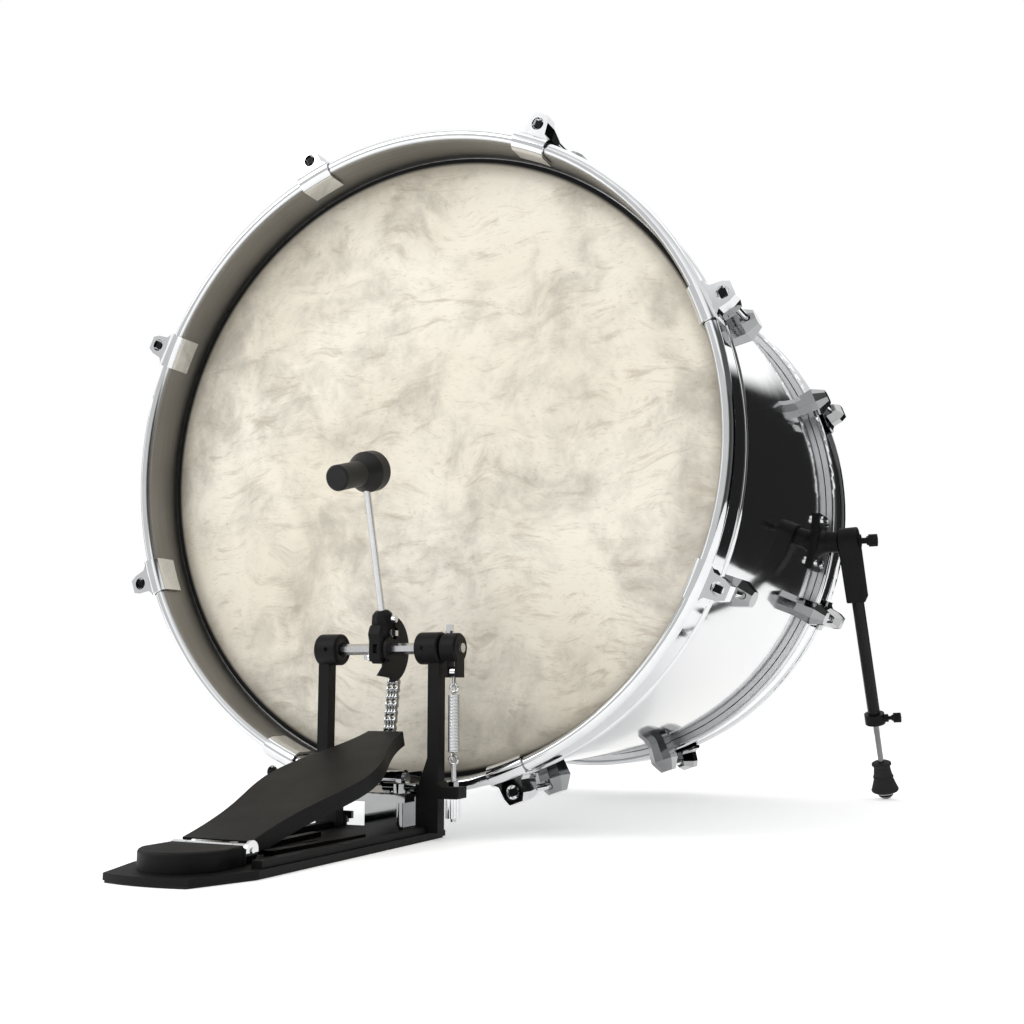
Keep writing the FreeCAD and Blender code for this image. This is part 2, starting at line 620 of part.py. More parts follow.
def thumb_screw(neck_radius, neck_length, head_radius, head_length):
    """Knurled head on a stepped neck, drawn along +X from the origin."""
    neck = cylinder(neck_radius, neck_length, ORIGIN, X_AXIS)
    collar = cylinder(neck_radius * 1.5, 2.0, V(neck_length - 2.0, 0, 0), X_AXIS)
    head = cylinder(head_radius, head_length, V(neck_length, 0, 0), X_AXIS)
    flutes = 10
    cuts = []
    for index in range(flutes):
        angle = 2 * math.pi * index / flutes
        y = (head_radius + 0.5) * math.cos(angle)
        z = (head_radius + 0.5) * math.sin(angle)
        cuts.append(cylinder(1.1, head_length, V(neck_length, y, z), X_AXIS))
    return fused([neck, collar, head]).cut(Part.makeCompound(cuts))


def make_housing_screw():
    """Pivot bolt of the leg: shank through the housing into the bracket, thumb head outside."""
    head = thumb_screw(3.2, 9.0, 6.5, 8.5)
    outer_face = SPUR_PIVOT_X + SPUR_HOUSING_THICK / 2 + 1.2
    head.translate(V(outer_face, SPUR_Y, SPUR_PIVOT_Z))
    shank_start = SPUR_PIVOT_X - SPUR_HOUSING_THICK / 2 - 12
    shank = cylinder(SPUR_PIVOT_RADIUS, outer_face - shank_start,
                     V(shank_start, SPUR_Y, SPUR_PIVOT_Z), X_AXIS)
    washer = cylinder(7.0, 1.2, V(outer_face - 0.2, SPUR_Y, SPUR_PIVOT_Z), X_AXIS)
    return fused([head, shank, washer])


def make_spur_tube():
    length = SPUR_TUBE_END - SPUR_TUBE_START
    inner = SPUR_TUBE_RADIUS - SPUR_TUBE_WALL
    tube = ring(SPUR_TUBE_RADIUS, inner, length, V(0, 0, -SPUR_TUBE_END), Z_AXIS)
    return place_leg(tube)


def make_spur_collar():
    """Clamp collar that closes on the rod just below the tube, with a boss for its screw."""
    start = V(0, 0, -SPUR_TUBE_END - SPUR_COLLAR_LENGTH)
    body = cylinder(SPUR_COLLAR_RADIUS, SPUR_COLLAR_LENGTH, start, Z_AXIS)
    middle = V(0, 0, -SPUR_TUBE_END - SPUR_COLLAR_LENGTH / 2)
    boss = cylinder(4.2, SPUR_COLLAR_RADIUS + 3.5, middle, X_AXIS)
    body = fused([body, boss])
    body = body.cut(cylinder(SPUR_ROD_RADIUS + SLIDING_FIT, 3 * SPUR_COLLAR_LENGTH,
                             V(0, 0, -SPUR_TUBE_END - 2 * SPUR_COLLAR_LENGTH), Z_AXIS))
    body = body.cut(cylinder(2.1 + RUN, 30, middle + V(SPUR_ROD_RADIUS + 1, 0, 0), X_AXIS))
    return place_leg(body)


def make_collar_screw():
    head = thumb_screw(2.1, 8.0, 5.2, 7.5)
    head.translate(V(SPUR_COLLAR_RADIUS + 1.0, 0, 0))
    shank = cylinder(2.1, SPUR_COLLAR_RADIUS - SPUR_ROD_RADIUS, V(SPUR_ROD_RADIUS + 1.5, 0, 0), X_AXIS)
    screw = fused([head, shank])
    screw.translate(V(0, 0, -SPUR_TUBE_END - SPUR_COLLAR_LENGTH / 2))
    return place_leg(screw)


def foot_bottom():
    return SPUR_TIP_CENTRE + SPUR_TIP_RADIUS - SPUR_TIP_BULGE


def make_spur_rod():
    """Sliding rod that ends in a domed steel tip."""
    rod = cylinder(SPUR_ROD_RADIUS, SPUR_TIP_CENTRE - SPUR_ROD_START, V(0, 0, -SPUR_TIP_CENTRE), Z_AXIS)
    ball = Part.makeSphere(SPUR_TIP_RADIUS, V(0, 0, -SPUR_TIP_CENTRE))
    below = block(-20, 20, -20, 20, -SPUR_TIP_CENTRE - 20, -foot_bottom())
    return place_leg(fused([rod.fuse(cylinder(SPUR_ROD_RADIUS, 6, V(0, 0, -foot_bottom() - 1), Z_AXIS)),
                            ball.common(below)]))


def make_spur_foot():
    """Two-tier rubber foot with a flanged top, pushed on to the rod."""
    bottom = -foot_bottom()
    top = bottom + SPUR_FOOT_LENGTH
    r = SPUR_FOOT_RADIUS
    waist = bottom + SPUR_FOOT_LENGTH * 0.52
    profile = [
        (SPUR_ROD_RADIUS, bottom), (r, bottom), (r, bottom + 3), (r * 0.84, waist - 1),
        (r * 0.92, waist), (r * 0.90, waist + 1.5), (r * 0.74, top - 7), (r * 0.98, top - 5),
        (r * 0.98, top - 3), (r * 0.45, top), (SPUR_ROD_RADIUS, top),
    ]
    outline = [V(radius, 0, z) for radius, z in profile]
    body = Part.Face(Part.makePolygon(outline + [outline[0]])).revolve(ORIGIN, Z_AXIS, 360)
    return place_leg(body)


def make_spurs():
    brackets = both_sides(make_spur_bracket())
    parts["spur_brackets"] = Part.makeCompound(brackets)
    screws = []
    for screw in make_bracket_screws():
        screws += both_sides(screw)
    parts["bracket_screws"] = Part.makeCompound(screws)
    leg = {
        "spur_housing": make_spur_housing(),
        "housing_screw": make_housing_screw(),
        "spur_tube": make_spur_tube(),
        "spur_collar": make_spur_collar(),
        "collar_screw": make_collar_screw(),
        "spur_rod": make_spur_rod(),
        "spur_foot": make_spur_foot(),
    }
    for name, shape in leg.items():
        right, left = both_sides(shape)
        parts["right_" + name] = right
        parts["left_" + name] = left


# ---------------------------------------------------------------- pedal frame
def base_outline(z, inset):
    """Plan of the base: bowed heel edge, sides that widen forwards, and a tongue under the hoop."""
    w = BASE_HALF_WIDTH - inset
    h = HEEL_HALF_WIDTH - inset
    tongue = CLAMP_WIDTH / 2 + 6 - inset
    left_heel = V(-h, HEEL_END_Y + HEEL_BOW, z)
    right_heel = V(h, HEEL_END_Y + HEEL_BOW, z)
    tip = V(0, HEEL_END_Y + inset, z)
    points = [right_heel, V(w, BASE_STRAIGHT_Y, z), V(w, BASE_FRONT_Y - inset, z),
              V(tongue, BASE_FRONT_Y - inset, z), V(tongue, BASE_TONGUE_Y - inset, z),
              V(-tongue, BASE_TONGUE_Y - inset, z), V(-tongue, BASE_FRONT_Y - inset, z),
              V(-w, BASE_FRONT_Y - inset, z), V(-w, BASE_STRAIGHT_Y, z), left_heel]
    edges = [Part.makeLine(points[i], points[i + 1]) for i in range(len(points) - 1)]
    edges.append(Part.Arc(left_heel, tip, right_heel).toShape())
    return Part.Face(Part.Wire(edges))


def make_base_pad():
    return base_outline(0, 1.5).extrude(V(0, 0, PAD_THICK))


def make_base_plate():
    """Pressed plate with two raised ribs, a rear step and clearance for the pedal's screws."""
    plate = base_outline(PAD_THICK, 0).extrude(V(0, 0, BASE_THICK))
    ribs = []
    for side in (-1, 1):
        x = side * (BASE_HALF_WIDTH - 6)
        ribs.append(block(x - 4, x + 4, BASE_STRAIGHT_Y + 6, SHAFT_Y - POST_DEPTH / 2 - 1,
                          BASE_TOP_Z - 0.5, BASE_TOP_Z + 5))
        y0 = BASE_STRAIGHT_Y + 60
        ribs.append(prism([V(side * 10, y0, BASE_TOP_Z - 0.5), V(side * 18, y0, BASE_TOP_Z - 0.5),
                           V(side * 24, y0 + 110, BASE_TOP_Z - 0.5),
                           V(side * 16, y0 + 110, BASE_TOP_Z - 0.5)], V(0, 0, 4.0)))
    body = fused([plate] + ribs)
    slot = block(-7, 7, BASE_STRAIGHT_Y + 62, BASE_STRAIGHT_Y + 150, 0, BASE_TOP_Z + 1)
    body = body.cut(slot)
    for x, y in anchor_places():
        body = body.cut(cylinder(2.6, 30, V(x, y, -1), Z_AXIS))
    screw_hole = cylinder(2.6 + RUN, 30, V(CLAMP_SCREW_X, CLAMP_SCREW_Y, PAD_THICK), Z_AXIS)
    return body.cut(screw_hole)


def anchor_places():
    x = BASE_HALF_WIDTH - 8
    return [(-x, BASE_FRONT_Y - 6), (x, BASE_FRONT_Y - 6)]


def make_heel_plate():
    """Raised heel rest with a rounded end and chamfered upper edge."""
    front = HINGE_Y - HINGE_BARREL_RADIUS - 1.0
    half = HEEL_HALF_WIDTH - HEEL_PLATE_INSET
    left = V(-half, HEEL_END_Y + HEEL_PLATE_SIDE, BASE_TOP_Z)
    right = V(half, HEEL_END_Y + HEEL_PLATE_SIDE, BASE_TOP_Z)
    tip = V(0, HEEL_END_Y + HEEL_PLATE_TIP, BASE_TOP_Z)
    edges = [
        Part.makeLine(right, V(half, front, BASE_TOP_Z)),
        Part.makeLine(V(half, front, BASE_TOP_Z), V(-half, front, BASE_TOP_Z)),
        Part.makeLine(V(-half, front, BASE_TOP_Z), left),
        Part.Arc(left, tip, right).toShape(),
    ]
    body = Part.Face(Part.Wire(edges)).extrude(V(0, 0, HEEL_TOP_Z - BASE_TOP_Z))
    upper = [e for e in body.Edges if e.BoundBox.ZMin > HEEL_TOP_Z - 0.1 and e.CenterOfMass.y < front - 1]
    body = body.makeFillet(2.5, upper)
    ring_room = cylinder(HINGE_BARREL_RADIUS + 2.3 + GAP, 20,
                         V(HINGE_WIDTH / 2 - GAP, HINGE_Y, HINGE_Z), X_AXIS)
    foot_room = block(HINGE_WIDTH / 2 - GAP, HINGE_WIDTH, HINGE_Y - 6.5 - GAP, HINGE_Y, 0, HINGE_Z)
    return body.cut(ring_room).cut(foot_room)


def knuckle_spans():
    end = HINGE_WIDTH * 0.2
    half = HINGE_WIDTH / 2
    return {"left": (-half, -half + end - GAP), "middle": (-half + end, half - end),
            "right": (half - end + GAP, half)}


def knuckle(span):
    start = V(span[0], HINGE_Y, HINGE_Z)
    return cylinder(HINGE_BARREL_RADIUS, span[1] - span[0], start, X_AXIS)


def hinge_bore():
    start = V(-HINGE_WIDTH, HINGE_Y, HINGE_Z)
    return cylinder(HINGE_PIN_RADIUS + RUN, 2 * HINGE_WIDTH, start, X_AXIS)


def make_heel_hinge():
    """Fixed hinge half: two outer knuckles on a leaf that is screwed to the heel plate."""
    spans = knuckle_spans()
    leaf_y = HINGE_Y - HINGE_BARREL_RADIUS - 1.0
    pieces = []
    for side in ("left", "right"):
        x0, x1 = spans[side]
        pieces.append(knuckle(spans[side]))
        pieces.append(block(x0, x1, leaf_y, HINGE_Y, BASE_TOP_Z, HINGE_Z - 1.0))
    half = HINGE_WIDTH / 2
    foot = block(-half, half, leaf_y, HINGE_Y - HINGE_BARREL_RADIUS - 0.6 + 2.5, BASE_TOP_Z, BASE_TOP_Z + 2.0)
    pieces.append(foot)
    end_plate = cylinder(HINGE_BARREL_RADIUS + 2.3, 2.0, V(half, HINGE_Y, HINGE_Z), X_AXIS)
    pieces.append(end_plate)
    pieces.append(block(half, half + 2.0, HINGE_Y - 6.5, HINGE_Y + 1.0, BASE_TOP_Z, HINGE_Z))
    return fused(pieces).cut(hinge_bore())


def make_hinge_pin():
    half = HINGE_WIDTH / 2
    pin = cylinder(HINGE_PIN_RADIUS, HINGE_WIDTH + 3.5, V(-half - 0.5, HINGE_Y, HINGE_Z), X_AXIS)
    head = cylinder(HINGE_PIN_RADIUS + 1.2, 1.2, V(-half - 1.2 - 0.2, HINGE_Y, HINGE_Z), X_AXIS)
    return fused([pin, head])


def make_post(side):
    """Upright from the base to its bearing housing, flared inwards at the foot."""
    x_out = POST_CENTRE_X + POST_WIDTH / 2
    x_in = POST_CENTRE_X - POST_WIDTH / 2
    foot_in = x_out - POST_FOOT_WIDTH
    top = SHAFT_Z
    y0 = SHAFT_Y - POST_DEPTH / 2
    points = [V(x_out, y0, BASE_TOP_Z), V(x_out, y0, top), V(x_in, y0, top),
              V(x_in, y0, BASE_TOP_Z + POST_FOOT_HEIGHT + 18),
              V(foot_in, y0, BASE_TOP_Z + POST_FOOT_HEIGHT - 10), V(foot_in, y0, BASE_TOP_Z)]
    body = prism(points, V(0, POST_DEPTH, 0))
    seat = cylinder(HOUSING_RADIUS, 200, V(0, SHAFT_Y, SHAFT_Z), X_AXIS)
    body = body.cut(seat)
    body = max(body.Solids, key=lambda solid: solid.Volume)
    if side < 0:
        return body.mirror(ORIGIN, X_AXIS)
    return body


def make_bearing_housing(side):
    """Round housing on top of a post; the right one is open at both ends for the shaft."""
    x0 = HOUSING_CENTRE_X - HOUSING_LENGTH / 2
    body = cylinder(HOUSING_RADIUS, HOUSING_LENGTH, V(x0, SHAFT_Y, SHAFT_Z), X_AXIS)
    body = body.makeFillet(1.8, [e for e in body.Edges if e.Curve.TypeId == "Part::GeomCircle"])
    pocket = cylinder(BEARING_RADIUS, BEARING_WIDTH + 5, V(x0 - 1, SHAFT_Y, SHAFT_Z), X_AXIS)
    body = body.cut(pocket)
    passage = cylinder(SHAFT_RADIUS + 1.2, HOUSING_LENGTH + 2, V(x0 - 1, SHAFT_Y, SHAFT_Z), X_AXIS)
    if side < 0:
        passage = cylinder(SHAFT_RADIUS + 1.2, HOUSING_LENGTH - 2, V(x0 - 1, SHAFT_Y, SHAFT_Z), X_AXIS)
    body = body.cut(passage)
    set_screw = cylinder(1.9, HOUSING_RADIUS, V(HOUSING_CENTRE_X - 2, SHAFT_Y - HOUSING_RADIUS - 1, SHAFT_Z),
                         Y_AXIS)
    body = body.cut(set_screw)
    if side < 0:
        return body.mirror(ORIGIN, X_AXIS)
    return body


def make_bearing():
    x0 = HOUSING_CENTRE_X - HOUSING_LENGTH / 2 + 4
    return ring(BEARING_RADIUS, SHAFT_JOURNAL_RADIUS + RUN, BEARING_WIDTH, V(x0, SHAFT_Y, SHAFT_Z), X_AXIS)


def make_spring_arm():
    """Bracket on the outside of the right post that the spring is pulled against."""
    x0 = POST_CENTRE_X + POST_WIDTH / 2
    x1 = SPRING_X + 8
    y0 = SHAFT_Y - 8
    top = SPRING_ARM_Z + SPRING_ARM_THICK
    points = [V(x0, y0, SPRING_ARM_Z), V(x1, y0, SPRING_ARM_Z), V(x1, y0, top),
              V(x0 + 4, y0, top), V(x0, y0, top + 4)]
    body = prism(points, V(0, 16, 0))
    body = body.makeFillet(1.2, [e for e in body.Edges if abs(e.CenterOfMass.x - x1) < 0.01])
    hole_start = V(SPRING_X, SHAFT_Y, SPRING_ARM_Z - 6)
    return body.cut(cylinder(SPRING_ROD_RADIUS + RUN, SPRING_ARM_THICK + 12, hole_start, Z_AXIS))


def make_clamp_cradle():
    """Chrome block that the hoop rests on, with cheeks for the jaw's pivot pin."""
    half = CLAMP_WIDTH / 2
    y0 = CLAMP_PIN_Y - 7
    y1 = BASE_TONGUE_Y - 3
    seat = block(-half, half, y0, y1, BASE_TOP_Z, HOOP_BOTTOM_Z + 5)
    hoop_space = cylinder(BEAD_OUTER_RADIUS, 2 * HOOP_DEPTH, V(0, -BEAD_RADIUS - 1.5, DRUM_CENTRE_HEIGHT), Y_AXIS)
    seat = seat.cut(hoop_space)
    clear_front = block(-half, half, -BEAD_RADIUS - 20, -BEAD_RADIUS - 1.4, HOOP_BOTTOM_Z, HOOP_BOTTOM_Z + 20)
    clear_cheeks = clear_front.cut(block(-half, half, -60, CLAMP_PIN_Y + 8, 0, 60))
    seat = seat.cut(clear_cheeks)
    cheeks = []
    for side in (-1, 1):
        inner = half - 5
        x0, x1 = sorted((side * inner, side * half))
        cheeks.append(block(x0, x1, y0, CLAMP_PIN_Y + 7, BASE_TOP_Z, CLAMP_PIN_Z))
        cheeks.append(cylinder(7, x1 - x0, V(x0, CLAMP_PIN_Y, CLAMP_PIN_Z), X_AXIS))
    jaw_room = block(-half + 5, half - 5, y0 - 1, CLAMP_PIN_Y + 8, HOOP_BOTTOM_Z + 1, CLAMP_PIN_Z + 20)
    body = fused([seat.cut(jaw_room)] + cheeks)
    return body.cut(cylinder(2.5, 2 * CLAMP_WIDTH, V(-CLAMP_WIDTH, CLAMP_PIN_Y, CLAMP_PIN_Z), X_AXIS))


def make_clamp_pin():
    half = CLAMP_WIDTH / 2
    pin = cylinder(2.5, CLAMP_WIDTH + 2, V(-half - 1, CLAMP_PIN_Y, CLAMP_PIN_Z), X_AXIS)
    heads = [cylinder(4.5, 2.0, V(x, CLAMP_PIN_Y, CLAMP_PIN_Z), X_AXIS) for x in (-half - 2, half)]
    return fused([pin] + heads)


def make_clamp_jaw():
    """Lever that presses the hoop from inside; its tail is lifted by the wing screw."""
    half = CLAMP_WIDTH / 2 - 5 - GAP
    inner_z = DRUM_CENTRE_HEIGHT - HOOP_INNER + GAP
    finger = block(-half, half, CLAMP_PIN_Y, BEAD_RADIUS + 8, inner_z - 1, CLAMP_PIN_Z + 4)
    hoop_space = ring(BEAD_OUTER_RADIUS + 20, HOOP_INNER - GAP, HOOP_DEPTH,
                      V(0, -BEAD_RADIUS - 0.8, DRUM_CENTRE_HEIGHT), Y_AXIS)
    finger = finger.cut(hoop_space)
    barrel = cylinder(6.5, 2 * half, V(-half, CLAMP_PIN_Y, CLAMP_PIN_Z), X_AXIS)
    tail_top = CLAMP_PIN_Z
    tail = prism([V(-half, CLAMP_PIN_Y, tail_top), V(-half, CLAMP_SCREW_Y + 8, tail_top - 9),
                  V(-half, CLAMP_SCREW_Y + 8, tail_top - 14), V(-half, CLAMP_PIN_Y, tail_top - 6)],
                 V(2 * half, 0, 0))
    bridge = block(-half, CLAMP_SCREW_X + 8, CLAMP_SCREW_Y - 7, CLAMP_SCREW_Y + 9, tail_top - 15, tail_top - 9)
    body = fused([finger, barrel, tail, bridge])
    front_space = block(-half - 1, half + 1, CLAMP_PIN_Y + 6.5, -BEAD_RADIUS - 0.8, 0, inner_z - 1)
    body = body.cut(front_space)
    body = body.cut(cylinder(2.5 + RUN, 2 * CLAMP_WIDTH, V(-CLAMP_WIDTH, CLAMP_PIN_Y, CLAMP_PIN_Z), X_AXIS))
    hole = block(CLAMP_SCREW_X - 3.2, CLAMP_SCREW_X + 3.2, CLAMP_SCREW_Y - 4.2, CLAMP_SCREW_Y + 4.2, 0, 80)
    return body.cut(hole)


def make_clamp_screw():
    """Wing screw held in the base; its shank passes through the jaw's tail."""
    bottom = PAD_THICK + 0.5
    tail_top = CLAMP_PIN_Z - 9
    shank = cylinder(2.6, tail_top + 7 - bottom, V(CLAMP_SCREW_X, CLAMP_SCREW_Y, bottom), Z_AXIS)
    flange = cylinder(5.0, 2.0, V(CLAMP_SCREW_X, CLAMP_SCREW_Y, BASE_TOP_Z + GAP), Z_AXIS)
    boss_z = tail_top + 1
    boss = cylinder(5.5, 7.0, V(CLAMP_SCREW_X, CLAMP_SCREW_Y, boss_z), Z_AXIS)
    bar = cylinder(3.0, 30.0, V(CLAMP_SCREW_X - 15, CLAMP_SCREW_Y, boss_z + 4.5), X_AXIS)
    return fused([shank, flange, boss, bar])


def make_pedal_screws():
    """Anchor screws with wing heads in the base, and the lock nut on the spring arm."""
    screws = [make_lock_nut()]
    for x, y in anchor_places():
        shank = cylinder(2.5, BASE_TOP_Z + 8, V(x, y, 0.4), Z_AXIS)
        head = cylinder(4.2, 5.0, V(x, y, BASE_TOP_Z + 3), Z_AXIS)
        wing = block(x - 8, x + 8, y - 1.5, y + 1.5, BASE_TOP_Z + 6, BASE_TOP_Z + 12)
        screws.append(fused([shank, head, wing]))
    return Part.makeCompound(screws)


def make_pedal_frame():
    parts["base_pad"] = make_base_pad().cut(Part.makeCompound(
        [cylinder(3.0, 10, V(x, y, -1), Z_AXIS) for x, y in anchor_places()]))
    parts["base_plate"] = make_base_plate()
    parts["heel_plate"] = make_heel_plate()
    parts["heel_hinge"] = make_heel_hinge()
    parts["pivot_pins"] = Part.makeCompound([make_hinge_pin(), make_clamp_pin()])
    parts["left_post"] = make_post(-1)
    parts["right_post"] = make_post(1)
    parts["left_bearing_housing"] = make_bearing_housing(-1)
    parts["right_bearing_housing"] = make_bearing_housing(1)
    parts["shaft_bearings"] = Part.makeCompound(both_sides(make_bearing()))
    parts["spring_arm"] = make_spring_arm()
    parts["clamp_cradle"] = make_clamp_cradle()
    parts["clamp_jaw"] = make_clamp_jaw()
    parts["clamp_screw"] = make_clamp_screw()
    parts["pedal_screws"] = make_pedal_screws()


# ---------------------------------------------------------------- pedal moving pieces
def board_half_widths():
    """Footboard half width at shares of its length from hinge to toe."""
    return [(0.03, 28.5), (0.15, 28.0), (0.28, 31.5), (0.40, 38.0), (0.50, 42.5), (0.60, 42.5),
            (0.70, 37.0), (0.80, 28.0), (0.90, 20.0), (1.0, 16.5)]


def board_plan(shrink):
    """Outline in the board's own plane: X across, Y along from the hinge axis."""
    length = math.hypot(BOARD_TOE_Y - HINGE_Y, BOARD_TOE_Z - HINGE_Z)
    table = board_half_widths()
    first = HINGE_BARREL_RADIUS + 1.2 + shrink
    right = []
    for share, half in table:
        y = max(share * length, first) if share < 0.1 else share * length
        if share == 1.0:
            y -= shrink
        right.append(V(half - shrink, y, 0))
    left = [V(-p.x, p.y, 0) for p in reversed(right)]
    right_curve = Part.BSplineCurve()
    right_curve.interpolate(right)
    left_curve = Part.BSplineCurve()
    left_curve.interpolate(left)
    edges = [right_curve.toShape(), Part.makeLine(right[-1], left[0]), left_curve.toShape(),
             Part.makeLine(left[-1], right[0])]
    return Part.Face(Part.Wire(edges))


def place_board(shape):
    shape.rotate(ORIGIN, X_AXIS, math.degrees(BOARD_SLOPE))
    shape.translate(V(0, HINGE_Y, HINGE_Z))
    return shape


def make_footboard():
    """Cast board: flat top, a skirt all round below and a centre rib."""
    top = 3.2
    outer = board_plan(0)
    outer.translate(V(0, 0, top - BOARD_SKIRT))
    body = outer.extrude(V(0, 0, BOARD_SKIRT))
    hollow = board_plan(BOARD_SKIRT_WALL)
    hollow.translate(V(0, 0, top - BOARD_SKIRT - 1))
    body = body.cut(hollow.extrude(V(0, 0, BOARD_SKIRT + 1 - BOARD_THICK)))
    length = math.hypot(BOARD_TOE_Y - HINGE_Y, BOARD_TOE_Z - HINGE_Z)
    rib = block(-1.6, 1.6, HINGE_BARREL_RADIUS + 3, length - 3, top - BOARD_SKIRT + 2, top - 1)
    body = body.fuse(rib).removeSplitter()
    heel_relief = prism([V(-60, 0, top - BOARD_SKIRT - 1), V(-60, 26, top - BOARD_SKIRT - 1),
                         V(-60, 0, top - BOARD_THICK)], V(120, 0, 0))
    body = body.cut(heel_relief)
    return place_board(body)


def make_footboard_hinge():
    """Moving hinge half: the middle knuckle with a leaf under the board's heel edge."""
    span = knuckle_spans()["middle"]
    barrel = cylinder(HINGE_BARREL_RADIUS, span[1] - span[0], V(span[0], 0, 0), X_AXIS)
    leaf = block(span[0], span[1], 0, HINGE_BARREL_RADIUS + 1.2, -1.0, 3.0)
    bore = cylinder(HINGE_PIN_RADIUS + RUN, HINGE_WIDTH, V(-HINGE_WIDTH / 2, 0, 0), X_AXIS)
    return place_board(fused([barrel, leaf]).cut(bore))


def make_shaft():
    """Hexagon shaft with round journals where the bearings hold it."""
    inner = HOUSING_CENTRE_X - HOUSING_LENGTH / 2 + 4
    end_left = -inner - BEARING_WIDTH - 2
    hexagon = hexagon_bar(SHAFT_ACROSS_FLATS, -inner, inner, SHAFT_Y, SHAFT_Z)
    left = cylinder(SHAFT_JOURNAL_RADIUS, -inner - end_left, V(end_left, SHAFT_Y, SHAFT_Z), X_AXIS)
    end_right = ROCKER_START_X + ROCKER_LENGTH + 2.0
    right = cylinder(SHAFT_JOURNAL_RADIUS, end_right - inner, V(inner, SHAFT_Y, SHAFT_Z), X_AXIS)
    return fused([hexagon, left, right])


def shaft_frame(y, z):
    """Point given from the shaft axis: y towards the drum, z up."""
    return V(0, SHAFT_Y + y, SHAFT_Z + z)


def make_cam():
    """Chain cam: crescent flange, grooved core and a beak below on the player's side."""
    flange_x = HUB_WIDTH / 2 + 1.5
    flange_thick = 2.6
    centre = V(flange_x, SHAFT_Y, SHAFT_Z)
    flange = cylinder(CAM_RADIUS, flange_thick, centre, X_AXIS)
    beak = prism([V(flange_x, SHAFT_Y - 21, SHAFT_Z - 22), V(flange_x, SHAFT_Y - 8, SHAFT_Z - 10),
                  V(flange_x, SHAFT_Y + 6, SHAFT_Z - 12), V(flange_x, SHAFT_Y + 4, SHAFT_Z - 24)],
                 V(flange_thick, 0, 0))
    cut_away = prism([V(flange_x - 1, SHAFT_Y - 60, SHAFT_Z - 60), V(flange_x - 1, SHAFT_Y - 60, SHAFT_Z + 60),
                      V(flange_x - 1, SHAFT_Y + 8, SHAFT_Z + 60), V(flange_x - 1, SHAFT_Y - 4, SHAFT_Z - 60)],
                     V(flange_thick + 2, 0, 0))
    crescent = flange.cut(cut_away)
    web = cylinder(11, flange_thick, centre, X_AXIS)
    body = fused([crescent, beak, web])
    core_x = -CHAIN_WIDTH / 2 + 0.4
    core_radius = CHAIN_RADIUS - CHAIN_THICK / 2 - CHAIN_TO_CORE
    core = cylinder(core_radius, flange_x - core_x, V(core_x, SHAFT_Y, SHAFT_Z), X_AXIS)
    front = prism([V(core_x - 1, SHAFT_Y + HUB_DEPTH / 2, SHAFT_Z - 60),
                   V(core_x - 1, SHAFT_Y + HUB_DEPTH / 2, SHAFT_Z + 60),
                   V(core_x - 1, SHAFT_Y + 60, SHAFT_Z + 60),
                   V(core_x - 1, SHAFT_Y + 60, SHAFT_Z - 60)], V(60, 0, 0))
    body = fused([body, core.common(front)])
    body = body.cut(hexagon_bar(SHAFT_ACROSS_FLATS, -30, 30, SHAFT_Y, SHAFT_Z))
    driver_hole = cylinder(HUB_SCREW_RADIUS * 2.6, 30, hub_screw_place(), X_AXIS)
    return body.cut(driver_hole).cut(beater_rod_hole())


def beater_direction():
    lean = math.radians(BEATER_LEAN)
    return V(0, -math.sin(lean), math.cos(lean))


def beater_foot_point():
    """Point of the beater rod's axis nearest to the shaft, on the drum side."""
    lean = math.radians(BEATER_LEAN)
    return shaft_frame(BEATER_OFFSET * math.cos(lean), BEATER_OFFSET * math.sin(lean))


def beater_rod_hole():
    direction = beater_direction()
    start = beater_foot_point() - direction * 60
    return cylinder(BEATER_ROD_RADIUS + RUN, 120, start, direction)


def hub_screw_place():
    """Where the screw that clamps the beater rod enters the hub's right face."""
    return V(HUB_WIDTH / 2, SHAFT_Y + 3.5, SHAFT_Z + 13)


def cam_screw_place():
    """Where the screw that clamps the cam enters the hub's left face."""
    return V(-HUB_WIDTH / 2, SHAFT_Y - 4, SHAFT_Z - 6.8)


def make_beater_hub():
    """Faceted clamp body on the shaft, bored for the beater rod."""
    half = HUB_WIDTH / 2
    outline = [(-10, -8), (-10, 6), (-12, 12), (-9.5, 19), (-3, 21.5), (9, 19), (13.5, 12),
               (13.5, -6), (8, -HUB_BOTTOM), (-5, -HUB_BOTTOM)]
    scale = HUB_DEPTH / 20.0
    points = [V(-half, SHAFT_Y + y * scale, SHAFT_Z + z) for y, z in outline]
    body = prism(points, V(HUB_WIDTH, 0, 0))
    body = body.makeChamfer(2.2, [e for e in body.Edges if abs(abs(e.CenterOfMass.x) - half) < 0.01])
    body = body.cut(hexagon_bar(SHAFT_ACROSS_FLATS, -30, 30, SHAFT_Y, SHAFT_Z))
    body = body.cut(beater_rod_hole())
    window = block(-2, 2, SHAFT_Y - 14, SHAFT_Y, SHAFT_Z - 3.6, SHAFT_Z + 3.6)
    return body.cut(window).cut(hub_screw_holes())


def key_screw(radius, length, across, head):
    """Square-head key screw along +X: shank, collar and head."""
    shank = cylinder(radius, length, V(-length, 0, 0), X_AXIS)
    collar = cylinder(radius * 1.7, 1.6, ORIGIN, X_AXIS)
    half = across / 2
    return fused([shank, collar, block(1.6, 1.6 + head, -half, half, -half, half)])


def hub_screw_holes():
    radius = HUB_SCREW_RADIUS + RUN
    right = cylinder(radius, 20, hub_screw_place() - X_AXIS * 6, X_AXIS)
    left = cylinder(radius, 20, cam_screw_place() - X_AXIS * 14, X_AXIS)
    return Part.makeCompound([right, left])


